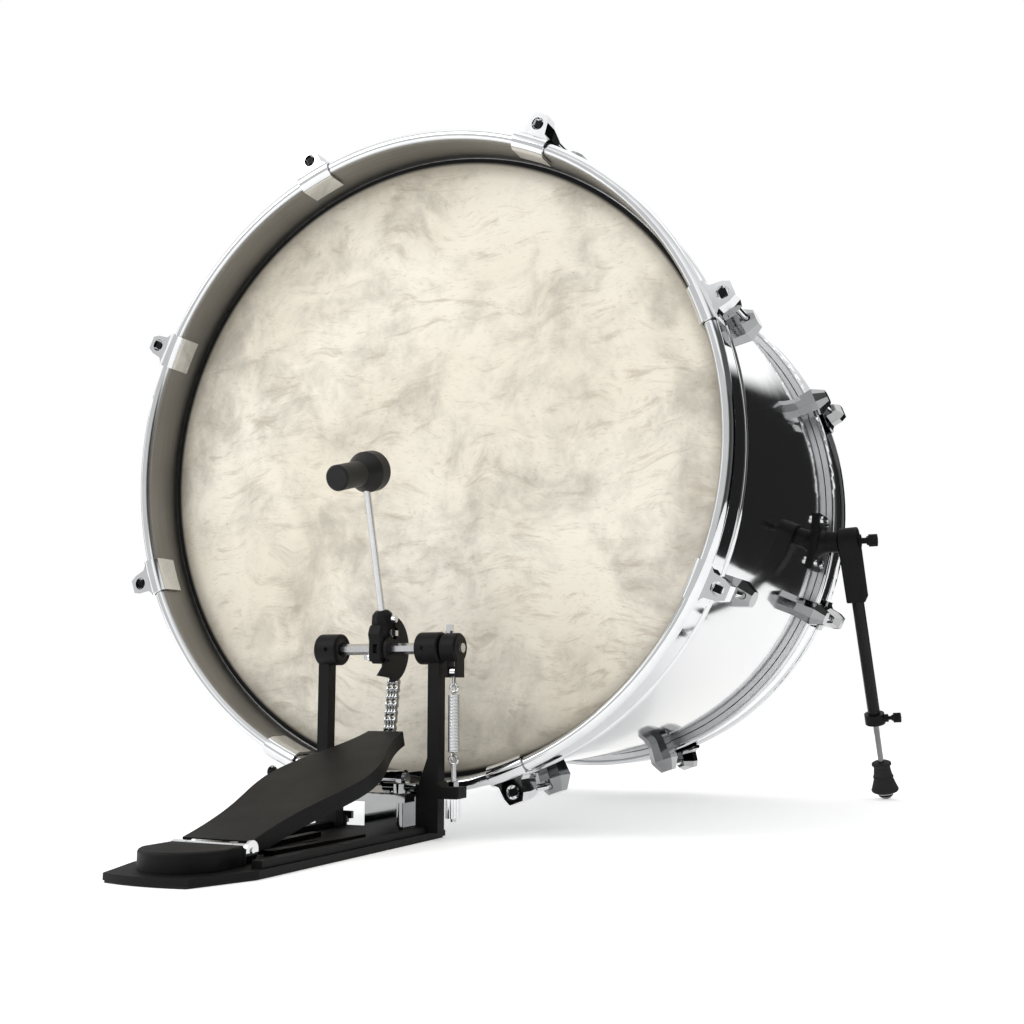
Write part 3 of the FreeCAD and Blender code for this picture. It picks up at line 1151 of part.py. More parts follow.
def make_key_screws():
    """Rod clamp screw, cam clamp screw and the rocker's clamp screw."""
    rod_screw = key_screw(HUB_SCREW_RADIUS, HUB_WIDTH / 2 - BEATER_ROD_RADIUS - GAP, 4.4, 4.0)
    rod_screw.translate(hub_screw_place() + X_AXIS * 0.1)
    cam_screw = key_screw(HUB_SCREW_RADIUS, 5.0, 4.4, 4.0)
    cam_screw.rotate(ORIGIN, Z_AXIS, 180)
    cam_screw.translate(cam_screw_place() - X_AXIS * 0.1)
    rocker_screw = key_screw(HUB_SCREW_RADIUS, 5.0, 4.4, 5.0)
    rocker_screw.rotate(ORIGIN, Y_AXIS, -90)
    rocker_screw.translate(V(ROCKER_START_X + 5.0, SHAFT_Y, SHAFT_Z + ROCKER_RADIUS + 0.1))
    return [rod_screw, cam_screw, rocker_screw]


def make_rocker():
    """Spring lever clamped to the shaft end, with a fork for the spring link's pin."""
    x0 = ROCKER_START_X
    body = cylinder(ROCKER_RADIUS, ROCKER_LENGTH, V(x0, SHAFT_Y, SHAFT_Z), X_AXIS)
    body = body.makeChamfer(1.5, [e for e in body.Edges if e.Curve.TypeId == "Part::GeomCircle"])
    fork = block(x0 + 3, x0 + ROCKER_LENGTH, SHAFT_Y - 6, SHAFT_Y + 6,
                 SHAFT_Z - SPRING_PIN_DROP - 4.5, SHAFT_Z - 3)
    body = fused([body, fork])
    gap = block(SPRING_X - 3.2, SPRING_X + 3.2, SHAFT_Y - 20, SHAFT_Y + 20,
                SHAFT_Z - SPRING_PIN_DROP - 20, SHAFT_Z - ROCKER_RADIUS + 1.0)
    body = body.cut(gap)
    pin = cylinder(1.6, ROCKER_LENGTH - 3, V(x0 + 3, SHAFT_Y, SHAFT_Z - SPRING_PIN_DROP), X_AXIS)
    body = body.fuse(pin).removeSplitter()
    body = body.cut(cylinder(SHAFT_JOURNAL_RADIUS, ROCKER_LENGTH + 2, V(x0 - 1, SHAFT_Y, SHAFT_Z), X_AXIS))
    screw_hole = cylinder(HUB_SCREW_RADIUS + RUN, 30, V(x0 + 5.0, SHAFT_Y, SHAFT_Z), Z_AXIS)
    return body.cut(screw_hole)


def make_beater_rod():
    direction = beater_direction()
    start = beater_foot_point() - direction * 9
    length = BEATER_CENTRE_UP + 9 - 4
    rod = cylinder(BEATER_ROD_RADIUS, length, start, direction)
    return rod


def beater_frame(shape):
    """Pieces drawn upright at the origin are leaned and put at the beater's centre."""
    shape.rotate(ORIGIN, X_AXIS, BEATER_LEAN)
    shape.translate(beater_foot_point() + beater_direction() * BEATER_CENTRE_UP)
    return shape


def make_beater_head():
    """Moulded beater: domed round face towards the drum and a narrower tail behind."""
    r = BEATER_FACE_RADIUS
    t = BEATER_TAIL_RADIUS
    back = -BEATER_TAIL_LENGTH
    edge = BEATER_FACE_LENGTH - BEATER_DOME_RISE - BEATER_EDGE_ROUND
    rim = r - BEATER_EDGE_ROUND
    turn = BEATER_EDGE_ROUND * math.sqrt(0.5)
    dome_start = V(rim, edge + BEATER_EDGE_ROUND, 0)
    dome_radius = (rim ** 2 + BEATER_DOME_RISE ** 2) / (2 * BEATER_DOME_RISE)
    dome_drop = dome_radius - math.sqrt(dome_radius ** 2 - (rim / 2) ** 2)
    dome_middle = V(rim / 2, BEATER_FACE_LENGTH - dome_drop, 0)
    outline = [
        Part.makeLine(V(0, BEATER_FACE_LENGTH, 0), V(0, back, 0)),
        Part.makeLine(V(0, back, 0), V(t - 1.5, back, 0)),
        Part.makeLine(V(t - 1.5, back, 0), V(t, back + 1.5, 0)),
        Part.makeLine(V(t, back + 1.5, 0), V(t, -12, 0)),
        Part.makeLine(V(t, -12, 0), V(r, 1, 0)),
        Part.makeLine(V(r, 1, 0), V(r, edge, 0)),
        Part.Arc(V(r, edge, 0), V(rim + turn, edge + turn, 0), dome_start).toShape(),
        Part.Arc(dome_start, dome_middle, V(0, BEATER_FACE_LENGTH, 0)).toShape(),
    ]
    body = Part.Face(Part.Wire(outline)).revolve(ORIGIN, Y_AXIS, 360)
    socket = cylinder(BEATER_ROD_RADIUS, 60, V(0, 0, -64), Z_AXIS)
    return beater_frame(body.cut(socket))


def chain_line():
    """Top and bottom of the hanging chain's centre line, which leaves the cam at a tangent."""
    bottom = V(0, BOARD_TOE_Y + 5.5, BOARD_TOE_Z - 1.0)
    back = SHAFT_Y - bottom.y
    up = SHAFT_Z - bottom.z
    lean = math.atan2(back, up) + math.asin(CHAIN_RADIUS / math.hypot(back, up))
    top = shaft_frame(CHAIN_RADIUS * math.cos(lean), -CHAIN_RADIUS * math.sin(lean))
    return top, bottom


def make_chain():
    """Hanging run of a double roller chain: rollers on pins between three rows of plates."""
    top, bottom = chain_line()
    direction = (bottom - top).normalize()
    length = (bottom - top).Length
    pitch = 6.35
    count = int(length / pitch)
    pieces = []
    for index in range(count + 1):
        centre = bottom - direction * (pitch * index)
        pieces.append(cylinder(2.0, CHAIN_WIDTH - 1.0, centre + V(-CHAIN_WIDTH / 2 + 0.5, 0, 0), X_AXIS))
    for index in range(count):
        a = bottom - direction * (pitch * index)
        b = bottom - direction * (pitch * (index + 1))
        side = Y_AXIS * (CHAIN_THICK / 2 - 0.3)
        offset = 0.0 if index % 2 else 0.9
        for x in (-CHAIN_WIDTH / 2 + offset, -0.45, CHAIN_WIDTH / 2 - 0.9 - offset):
            over = direction * 2.2
            points = [a + side + over, a - side + over, b - side - over, b + side - over]
            pieces.append(prism([p + V(x, 0, 0) for p in points], V(0.9, 0, 0)))
    return fused(pieces)


def make_chain_anchor():
    """Toe bracket that joins the last chain link to the footboard."""
    _, bottom = chain_line()
    x = CHAIN_WIDTH / 2 + 0.6
    body = block(-x - 2, x + 2, BOARD_TOE_Y - 1, bottom.y + 3.2, BOARD_TOE_Z - 9, BOARD_TOE_Z + 1.5)
    room = block(-x, x, BOARD_TOE_Y + 0.5, bottom.y + 10, BOARD_TOE_Z - 5, BOARD_TOE_Z + 5)
    return body.cut(room)


def make_spring():
    """Close-wound extension spring as one sleeve of its outer size with a loop at each end."""
    outer = SPRING_RADIUS
    inner = SPRING_RADIUS - SPRING_WIRE
    length = SPRING_TOP_Z - SPRING_BOTTOM_Z
    sleeve = ring(outer, inner, length, V(SPRING_X, SHAFT_Y, SPRING_BOTTOM_Z), Z_AXIS)
    lids = [ring(outer, 1.2, SPRING_WIRE, V(SPRING_X, SHAFT_Y, z), Z_AXIS)
            for z in (SPRING_BOTTOM_Z, SPRING_TOP_Z - SPRING_WIRE)]
    pieces = [sleeve] + lids
    for z, sign in ((SPRING_TOP_Z, 1), (SPRING_BOTTOM_Z, -1)):
        loop = Part.makeTorus(3.6, SPRING_WIRE, V(SPRING_X, SHAFT_Y, z + sign * 3.4), X_AXIS)
        pieces.append(loop)
    return fused(pieces)


def make_spring_link():
    """Swivel link from the rocker's pin down to the spring's upper loop."""
    pin_z = SHAFT_Z - SPRING_PIN_DROP
    eye = ring(4.2, 1.6 + RUN, 5.0, V(SPRING_X - 2.5, SHAFT_Y, pin_z), X_AXIS)
    neck_bottom = SPRING_TOP_Z + 8.6
    neck = cylinder(1.5, pin_z - 3.6 - neck_bottom, V(SPRING_X, SHAFT_Y, neck_bottom), Z_AXIS)
    ring_centre = V(SPRING_X, SHAFT_Y, neck_bottom - 2.2)
    hook = Part.makeTorus(3.2, 1.1, ring_centre, Y_AXIS)
    return fused([eye, neck, hook])


def make_spring_rod():
    """Threaded rod with an eye for the spring's lower loop and a lock nut on the arm."""
    bottom = SPRING_ARM_Z - 18
    top = SPRING_BOTTOM_Z - 10
    rod = cylinder(SPRING_ROD_RADIUS, top - bottom, V(SPRING_X, SHAFT_Y, bottom), Z_AXIS)
    eye = Part.makeTorus(3.4, 1.2, V(SPRING_X, SHAFT_Y, top + 3.0), Y_AXIS)
    return fused([rod, eye])


def hexagon_nut(across, height, bore, centre):
    radius = across / math.sqrt(3)
    corners = [math.radians(60 * k) for k in range(6)]
    points = [centre + V(radius * math.cos(a), radius * math.sin(a), 0) for a in corners]
    return prism(points, V(0, 0, height)).cut(cylinder(bore, height, centre, Z_AXIS))


def make_spring_adjuster():
    """Knurled adjuster below the arm."""
    top = SPRING_ARM_Z - GAP
    body = cylinder(6.3, 15, V(SPRING_X, SHAFT_Y, top - 15), Z_AXIS)
    grooves = [cylinder(0.7, 15, V(SPRING_X + 6.5 * math.cos(a), SHAFT_Y + 6.5 * math.sin(a), top - 15), Z_AXIS)
               for a in [2 * math.pi * k / 16 for k in range(16)]]
    bore = cylinder(SPRING_ROD_RADIUS + RUN, 20, V(SPRING_X, SHAFT_Y, top - 16), Z_AXIS)
    return body.cut(bore).cut(Part.makeCompound(grooves))


def make_lock_nut():
    top = SPRING_ARM_Z + SPRING_ARM_THICK
    return hexagon_nut(8.0, 4.0, SPRING_ROD_RADIUS + RUN, V(SPRING_X, SHAFT_Y, top))


def make_pedal_action():
    board = fused([make_footboard(), make_chain_anchor()])
    parts["footboard"] = board
    parts["footboard_hinge"] = make_footboard_hinge().cut(board)
    parts["shaft"] = make_shaft()
    hub = make_beater_hub()
    parts["beater_hub"] = hub
    parts["cam"] = make_cam().cut(hub)
    parts["rocker"] = make_rocker()
    screws = make_key_screws()
    parts["key_screws"] = Part.makeCompound(screws)
    parts["beater_rod"] = make_beater_rod()
    parts["beater_head"] = make_beater_head()
    parts["chain"] = make_chain()
    parts["spring"] = make_spring()
    parts["spring_link"] = make_spring_link()
    parts["spring_rod"] = make_spring_rod()
    parts["spring_adjuster"] = make_spring_adjuster()


# ---------------------------------------------------------------- build and write
make_drum()
make_spurs()
make_pedal_frame()
make_pedal_action()

boxes = [shape.optimalBoundingBox() for shape in parts.values()]
lowest_y = min(box.YMin for box in boxes)
highest_y = max(box.YMax for box in boxes)
to_origin = V(0, -(lowest_y + highest_y) / 2, 0)

os.makedirs("parts", exist_ok=True)
for name, shape in parts.items():
    placed = shape.copy()
    placed.translate(to_origin)
    placed.exportStep("parts/" + name + ".step")
print("nodes", len(parts), "shift along Y", round(to_origin.y, 3))
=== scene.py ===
"""Bass drum with a kick pedal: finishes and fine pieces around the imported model."""

import json
import math

import bmesh
import bpy
from bpy.props import FloatProperty, FloatVectorProperty, IntProperty, PointerProperty
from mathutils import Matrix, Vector


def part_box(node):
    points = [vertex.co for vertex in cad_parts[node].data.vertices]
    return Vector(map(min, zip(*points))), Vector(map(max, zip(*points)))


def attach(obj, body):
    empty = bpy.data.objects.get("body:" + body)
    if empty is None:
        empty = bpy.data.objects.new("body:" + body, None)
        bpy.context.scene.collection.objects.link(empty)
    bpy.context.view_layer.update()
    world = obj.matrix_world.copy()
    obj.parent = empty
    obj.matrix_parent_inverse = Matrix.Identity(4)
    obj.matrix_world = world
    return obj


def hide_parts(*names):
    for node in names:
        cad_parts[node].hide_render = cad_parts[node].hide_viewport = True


bl_info = {
    "name": "Bass Drum Builder",
    "version": (1, 0, 0),
    "blender": (4, 5, 0),
    "location": "3D View > Sidebar > Bass Drum",
    "description": "Finishes and fine pieces of a bass drum with its kick pedal",
    "category": "Object",
}

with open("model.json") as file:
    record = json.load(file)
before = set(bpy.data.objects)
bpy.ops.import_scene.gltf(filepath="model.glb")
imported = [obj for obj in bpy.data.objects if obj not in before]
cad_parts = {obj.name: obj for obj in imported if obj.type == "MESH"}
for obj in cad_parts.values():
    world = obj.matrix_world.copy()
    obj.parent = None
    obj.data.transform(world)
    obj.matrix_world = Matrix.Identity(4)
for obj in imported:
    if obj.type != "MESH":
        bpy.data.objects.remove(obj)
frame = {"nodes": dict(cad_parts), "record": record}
NODES = frame["nodes"]
RECORD = frame["record"]
JOINTS = {joint["name"]: joint for joint in RECORD["behaviour"]["joints"]}
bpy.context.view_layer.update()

MM = 0.001
X_AXIS = Vector((1, 0, 0))
Z_AXIS = Vector((0, 0, 1))


# ------------------------------------------------------------------ places read from the frame
def joint_place(name):
    return Vector(JOINTS[name]["pos_m"])


def middle(node):
    low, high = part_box(node)
    return (Vector(low) + Vector(high)) / 2


def low_corner(node):
    return Vector(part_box(node)[0])


def high_corner(node):
    return Vector(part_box(node)[1])


DRUM_CENTRE = middle("batter_hoop")
HOOP_FRONT = low_corner("batter_hoop").y
ROD_HALF_SPAN = (high_corner("tension_rods").y - low_corner("tension_rods").y) / 2
SHAFT = joint_place("beater_swing")
TOE_PIN = joint_place("chain_swing")


# ------------------------------------------------------------------ shader maths
class Socket:
    """A shader socket on which Python arithmetic adds Math nodes."""

    def __init__(self, graph, socket):
        self.graph = graph
        self.socket = socket

    def _math(self, operation, first, second):
        return self.graph.node("ShaderNodeMath", {"operation": operation}, {0: first, 1: second})

    def __add__(self, other):
        return self._math("ADD", self, other)

    def __radd__(self, other):
        return self._math("ADD", other, self)

    def __sub__(self, other):
        return self._math("SUBTRACT", self, other)

    def __rsub__(self, other):
        return self._math("SUBTRACT", other, self)

    def __mul__(self, other):
        return self._math("MULTIPLY", self, other)

    def __rmul__(self, other):
        return self._math("MULTIPLY", other, self)

    def __truediv__(self, other):
        return self._math("DIVIDE", self, other)

    def __rtruediv__(self, other):
        return self._math("DIVIDE", other, self)

    def __pow__(self, other):
        return self._math("POWER", self, other)


class Graph:
    """Nodes of one material or of the world."""

    def __init__(self, owner):
        self.tree = owner.node_tree

    def node(self, kind, settings=None, sockets=None, output=0):
        """Adds a node, sets its settings first and then its sockets, and returns one output."""
        made = self.tree.nodes.new(kind)
        for key, value in (settings or {}).items():
            setattr(made, key, value)
        for key, value in (sockets or {}).items():
            if isinstance(value, Socket):
                self.tree.links.new(value.socket, made.inputs[key])
            else:
                made.inputs[key].default_value = value
        return Socket(self, made.outputs[output])

    def place(self):
        """Where a point lies in the object's own space, in metres."""
        return self.node("ShaderNodeTexCoord", output="Object")

    def axes(self, vector):
        return [self.node("ShaderNodeSeparateXYZ", sockets={0: vector}, output=k) for k in range(3)]

    def vector_math(self, operation, first, second):
        return self.node("ShaderNodeVectorMath", {"operation": operation}, {0: first, 1: second})

    def stretched(self, vector, scales):
        """The place scaled along each axis, for grain that is longer one way."""
        return self.vector_math("MULTIPLY", vector, scales)

    def noise(self, vector, scale, detail=3.0, roughness=0.5, distortion=0.0):
        return self.node("ShaderNodeTexNoise", {"noise_dimensions": "3D"},
                         {"Vector": vector, "Scale": scale, "Detail": detail,
                          "Roughness": roughness, "Distortion": distortion})

    def smooth(self, value, low, high):
        """0 below low, 1 above high, and a smooth step between them."""
        return self.node("ShaderNodeMapRange", {"interpolation_type": "SMOOTHSTEP"},
                         {"Value": value, "From Min": low, "From Max": high, "To Min": 0.0, "To Max": 1.0})

    def remap(self, value, low, high, to_low, to_high):
        return self.node("ShaderNodeMapRange", {"clamp": True},
                         {"Value": value, "From Min": low, "From Max": high,
                          "To Min": to_low, "To Max": to_high})

    def blend(self, factor, first, second):
        """Mixes two colours."""
        return self.node("ShaderNodeMix", {"data_type": "RGBA"}, {0: factor, 6: first, 7: second}, 2)

    def bump(self, height, strength, distance):
        return self.node("ShaderNodeBump", sockets={"Strength": strength, "Distance": distance,
                                                    "Height": height})


def opaque(colour):
    return (*colour, 1.0)


def shade(colour, factor):
    return tuple(min(1.0, value * factor) for value in colour)


class Finish(Graph):
    """One material with its Principled shader."""

    def __init__(self, name, **constants):
        self.material = bpy.data.materials.new(name)
        self.material.use_nodes = True
        super().__init__(self.material)
        self.shader = next(n for n in self.tree.nodes if n.type == "BSDF_PRINCIPLED")
        for key, value in constants.items():
            self.shader.inputs[key.replace("_", " ")].default_value = value

    def feed(self, **links):
        for key, value in links.items():
            self.tree.links.new(value.socket, self.shader.inputs[key.replace("_", " ")])
        return self.material


# ------------------------------------------------------------------ finishes
WALL_FADE = (0.4 * MM, 2.2 * MM)
# Fade of the black band of painted shadow at the head's edge, where the gap under the hoop lies in shade.
EDGE_SHADOW_FADE = (-3.0 * MM, 1.0 * MM)
# Where the painted shade on the head starts and ends, measured from the radius of its black edge band.
EDGE_SHADE_FADE = (-16.0 * MM, 2.0 * MM)
HEAD_FADE = 0.8 * MM
ROD_HEAD_LENGTH = 4.0 * MM
SOOT = (0.012, 0.012, 0.012)
RUBBED = (0.12, 0.12, 0.12)
# Colour of the head's black band of painted shadow.
EDGE_SHADOW_BLACK = (0.004, 0.004, 0.004)


def radius_about_drum(graph, place):
    """Distance of a point from the drum's axis."""
    x, _, z = graph.axes(place)
    away_x = x - DRUM_CENTRE.x
    away_z = z - DRUM_CENTRE.z
    return (away_x * away_x + away_z * away_z) ** 0.5


def speckle(graph, place, scale, low, high):
    return graph.smooth(graph.noise(place, scale, 4.0, 0.6), low, high)


def chrome_finish(name, colour, roughness):
    """Plated metal: faint cloudiness, wiping marks and a hint of orange peel."""
    finish = Finish(name, Metallic=1.0)
    place = finish.place()
    haze = finish.noise(place, 38.0, 5.0, 0.6)
    wiped = finish.noise(finish.stretched(place, (140.0, 900.0, 140.0)), 1.0, 2.0, 0.5)
    tone = finish.blend(finish.smooth(haze, 0.35, 0.75), opaque(shade(colour, 0.93)), opaque(colour))
    rough = roughness + (haze - 0.5) * roughness + (wiped - 0.5) * roughness * 0.5
    peel = finish.bump(haze, 0.04, 0.0004)
    return finish.feed(Base_Color=tone, Roughness=rough, Normal=peel)


def mirror_wrap_finish(name, colour, roughness):
    """Mirror wrap on a wooden shell: long soft waves from the plies under it and tiny specks."""
    finish = Finish(name, Metallic=1.0, Coat_Roughness=0.02)
    place = finish.place()
    wave = finish.noise(finish.stretched(place, (3.0, 9.0, 3.0)), 1.0, 2.0, 0.4)
    haze = finish.noise(place, 24.0, 4.0, 0.6)
    specks = speckle(finish, place, 900.0, 0.68, 0.78)
    tone = finish.blend(specks, opaque(colour), opaque(shade(colour, 0.6)))
    rough = roughness + (haze - 0.45) * roughness + specks * 0.1
    normal = finish.bump(wave, 0.06, 0.004)
    return finish.feed(Base_Color=tone, Roughness=rough, Normal=normal)


def hoop_finish(name, look):
    """Plated outside, and a satin inner wall beside the head."""
    finish = Finish(name, Metallic=1.0)
    place = finish.place()
    radius = radius_about_drum(finish, place)
    wall = 1.0 - finish.smooth(radius, look.wall_radius + WALL_FADE[0], look.wall_radius + WALL_FADE[1])
    haze = finish.noise(place, 38.0, 5.0, 0.6)
    drawn = finish.noise(finish.stretched(place, (12.0, 1400.0, 12.0)), 1.0, 3.0, 0.6)
    plated = finish.blend(finish.smooth(haze, 0.35, 0.75), opaque(shade(look.chrome, 0.93)),
                          opaque(look.chrome))
    satin = finish.blend(finish.smooth(drawn, 0.3, 0.7), opaque(look.wall), opaque(shade(look.wall, 0.86)))
    tone = finish.blend(wall, plated, satin)
    bright_rough = look.chrome_roughness + (haze - 0.5) * look.chrome_roughness
    rough = bright_rough + wall * (0.34 + (drawn - 0.5) * 0.12)
    return finish.feed(Base_Color=tone, Roughness=rough,
                       Normal=finish.bump(drawn * wall + haze * 0.2, 0.06, 0.0003))


def rod_finish(name, colour, roughness, head_start):
    """Plated tension rods whose socket heads are blackened."""
    finish = Finish(name, Metallic=1.0)
    place = finish.place()
    _, y, _ = finish.axes(place)
    haze = finish.noise(place, 60.0, 4.0, 0.6)
    away = finish.node("ShaderNodeMath", {"operation": "ABSOLUTE"}, {0: y - middle("tension_rods").y})
    head = finish.smooth(away, head_start, head_start + HEAD_FADE)
    tone = finish.blend(head, opaque(colour), opaque(SOOT))
    rough = roughness + (haze - 0.5) * roughness + head * 0.35
    return finish.feed(Base_Color=tone, Roughness=rough, Normal=finish.bump(haze, 0.04, 0.0003))


def powder_coat_finish(name, colour, roughness):
    """Black powder coat: fine orange peel, dull patches and a few pale rubbed specks."""
    finish = Finish(name, Specular_IOR_Level=0.14)
    place = finish.place()
    grain = finish.noise(place, 1500.0, 2.0, 0.55)
    patches = finish.noise(place, 30.0, 4.0, 0.6)
    dust = speckle(finish, place, 700.0, 0.70, 0.82)
    tone = finish.blend(finish.smooth(patches, 0.3, 0.8), opaque(colour), opaque(shade(colour, 1.5)))
    tone = finish.blend(dust * 0.25, tone, opaque(RUBBED))
    rough = roughness + (patches - 0.5) * 0.16 + (grain - 0.5) * 0.10
    return finish.feed(Base_Color=tone, Roughness=rough, Normal=finish.bump(grain, 0.22, 0.0002))


def moulded_finish(name, colour, roughness, grain_scale=2600.0, grain_strength=0.16):
    """Moulded plastic or rubber with a fine mould texture and flow marks."""
    finish = Finish(name, Specular_IOR_Level=0.18)
    place = finish.place()
    grain = finish.noise(place, grain_scale, 3.0, 0.6)
    flow = finish.noise(finish.stretched(place, (20.0, 20.0, 60.0)), 1.0, 3.0, 0.55)
    tone = finish.blend(finish.smooth(flow, 0.3, 0.8), opaque(colour), opaque(shade(colour, 1.6)))
    rough = roughness + (flow - 0.5) * 0.18
    return finish.feed(Base_Color=tone, Roughness=rough, Normal=finish.bump(grain, grain_strength, 0.00025))


def turned_finish(name, colour, roughness, lines=(2200.0, 2200.0, 60.0)):
    """Turned or drawn metal with fine lines across its length."""
    finish = Finish(name, Metallic=1.0)
    place = finish.place()
    fine = finish.noise(finish.stretched(place, lines), 1.0, 3.0, 0.6)
    haze = finish.noise(place, 45.0, 4.0, 0.6)
    tone = finish.blend(finish.smooth(haze, 0.3, 0.8), opaque(shade(colour, 0.88)), opaque(colour))
    rough = roughness + (fine - 0.5) * 0.16 + (haze - 0.5) * 0.08
    return finish.feed(Base_Color=tone, Roughness=rough, Normal=finish.bump(fine, 0.10, 0.00015))


def head_finish(name, look):
    """Skin-look drum film: warm clouds, fine fibres and small flecks, with painted shade darkening it
    towards the rim and a black band of painted shadow at its edge, where the gap under the hoop lies in
    shade.
    """
    finish = Finish(name, Specular_IOR_Level=0.35, Subsurface_Weight=0.0)
    place = finish.place()
    radius = radius_about_drum(finish, place)
    drift = finish.noise(place, 6.0, 3.0, 0.5)
    bent = finish.node("ShaderNodeVectorMath", {"operation": "ADD"}, {0: place, 1: finish.node(
        "ShaderNodeVectorMath", {"operation": "SCALE"},
        {0: finish.node("ShaderNodeTexNoise", None, {"Vector": place, "Scale": 9.0, "Detail": 2.0}, 1),
         "Scale": 0.07})})
    broad = finish.noise(bent, 7.5, 6.0, 0.62)
    middle_clouds = finish.noise(bent, 21.0, 8.0, 0.68)
    streak_place = finish.stretched(bent, (24.0, 24.0, 95.0))
    streaks = finish.noise(streak_place, 1.0, 7.0, 0.68, 0.4)
    fibres = finish.noise(finish.stretched(bent, (150.0, 150.0, 520.0)), 1.0, 5.0, 0.65)
    flecks = speckle(finish, bent, 330.0, 0.64, 0.74) * finish.smooth(middle_clouds, 0.45, 0.62)
    cloud = finish.smooth(broad * 0.5 + middle_clouds * 0.5, 0.44, 0.66)
    warm = finish.blend(finish.smooth(drift, 0.35, 0.7), opaque(look.head_pale), opaque(look.head_warm))
    tone = finish.blend(cloud * 0.75, warm, opaque(look.head_cloud))
    tone = finish.blend(finish.smooth(streaks, 0.52, 0.70) * 0.50, tone, opaque(look.head_vein))
    tone = finish.blend(finish.smooth(fibres, 0.54, 0.72) * 0.34, tone, opaque(look.head_vein))
    tone = finish.blend(flecks * 0.5, tone, opaque(look.head_fleck_and_edge_shade))
    # Painted shade: the film darkens over the last centimetres before the rim, standing in for the hoop's
    # shadow on the head.
    painted_edge_shade = finish.smooth(radius, look.edge_shadow_radius + EDGE_SHADE_FADE[0], look.edge_shadow_radius + EDGE_SHADE_FADE[1])
    tone = finish.blend(painted_edge_shade * 0.55, tone, opaque(shade(look.head_fleck_and_edge_shade, 0.7)))
    # Painted shadow: a black band at the head's edge stands in for the shaded gap between head and hoop.
    ring = finish.smooth(radius, look.edge_shadow_radius + EDGE_SHADOW_FADE[0], look.edge_shadow_radius + EDGE_SHADOW_FADE[1])
    tone = finish.blend(ring, tone, opaque(EDGE_SHADOW_BLACK))
    rough = 0.50 + (middle_clouds - 0.5) * 0.22 + (fibres - 0.5) * 0.12 + ring * 0.4
    relief = finish.bump(streaks * 0.6 + fibres * 0.4, 0.20, 0.0005)
    return finish.feed(Base_Color=tone, Roughness=rough, Normal=relief)


FINISHES = {}


def dress(nodes, finish):
    for node in nodes:
        mesh = NODES[node].data
        mesh.materials.clear()
        mesh.materials.append(finish)


# ------------------------------------------------------------------ mesh helpers
def new_object(name, bm, finish, body, smooth=True):
    """Turns a bmesh into a named piece that rides on a body."""
    bmesh.ops.recalc_face_normals(bm, faces=bm.faces)
    mesh = bpy.data.meshes.new(name)
    bm.to_mesh(mesh)
    bm.free()
    for polygon in mesh.polygons:
        polygon.use_smooth = smooth
    made = bpy.data.objects.new(name, mesh)
    bpy.context.collection.objects.link(made)
    mesh.materials.append(finish)
    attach(made, body)
    return made


def smooth_by_angle(piece, degrees=35.0):
    """Keeps edges sharper than this angle crisp."""
    mesh = piece.data
    work = bmesh.new()
    work.from_mesh(mesh)
    for edge in work.edges:
        if len(edge.link_faces) == 2 and edge.calc_face_angle() > math.radians(degrees):
            edge.smooth = False
    work.to_mesh(mesh)
    work.free()


def add_prism(bm, points, offset):
    """Closed prism from an outline and the offset to its other face."""
    near = [bm.verts.new(p) for p in points]
    far = [bm.verts.new(p + offset) for p in points]
    bm.faces.new(near)
    bm.faces.new(list(reversed(far)))
    count = len(points)
    for k in range(count):
        following = (k + 1) % count
        bm.faces.new((near[k], near[following], far[following], far[k]))


def frame_along(axis):
    """Two directions square to an axis."""
    side = axis.cross(Z_AXIS if abs(axis.z) < 0.9 else X_AXIS).normalized()
    return side, axis.cross(side).normalized()


def turned_rings(bm, origin, axis, profile, segments):
    """Rings of vertices about an axis, one for each (distance along the axis, radius)."""
    side, up = frame_along(axis)
    turns = [2 * math.pi * k / segments for k in range(segments)]
    rings = []
    for along, radius in profile:
        centre = origin + axis * along
        rings.append([bm.verts.new(centre + side * (radius * math.cos(a)) + up * (radius * math.sin(a)))
                      for a in turns])
    return rings


def join_rings(bm, first, second):
    for k in range(len(first)):
        following = (k + 1) % len(first)
        bm.faces.new((first[k], first[following], second[following], second[k]))


def add_lathe(bm, origin, axis, profile, segments=32):
    """Turned shape: profile holds (distance along the axis, radius), closed at both ends."""
    rings = turned_rings(bm, origin, axis, profile, segments)
    for first, second in zip(rings, rings[1:]):
        join_rings(bm, first, second)
    bm.faces.new(rings[0])
    bm.faces.new(list(reversed(rings[-1])))


def add_tube(bm, origin, axis, profile, segments=48):
    """Ring turned about an axis from a closed profile of (distance along the axis, radius)."""
    rings = turned_rings(bm, origin, axis, profile, segments)
    for index, first in enumerate(rings):
        join_rings(bm, first, rings[(index + 1) % len(rings)])


def curve_piece(name, points, radius, finish, body, smooth=True):
    """Round wire along a curve of points."""
    curve = bpy.data.curves.new(name, "CURVE")
    curve.dimensions = "3D"
    curve.bevel_depth = radius
    curve.bevel_resolution = 3
    curve.use_fill_caps = True
    curve.resolution_u = 6
    spline = curve.splines.new("NURBS" if smooth else "POLY")
    spline.points.add(len(points) - 1)
    for slot_point, point in zip(spline.points, points):
        slot_point.co = (*point, 1.0)
    if smooth:
        spline.order_u = 3
        spline.use_endpoint_u = True
    made = bpy.data.objects.new(name, curve)
    bpy.context.collection.objects.link(made)
    curve.materials.append(finish)
    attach(made, body)
    return made


def helix(start, axis, radius, pitch, turns, steps=16):
    side, up = frame_along(axis)
    count = int(turns * steps) + 1
    return [start + axis * (pitch * k / steps)
            + side * (radius * math.cos(2 * math.pi * k / steps))
            + up * (radius * math.sin(2 * math.pi * k / steps)) for k in range(count)]


# ------------------------------------------------------------------ sizes and colours
def colour_property(name, description, default):
    return FloatVectorProperty(name=name, description=description, default=default, size=3,
                               subtype="COLOR", min=0.0, max=1.0)


def length_property(name, description, default):
    return FloatProperty(name=name, description=description, default=default, unit="LENGTH", precision=4)


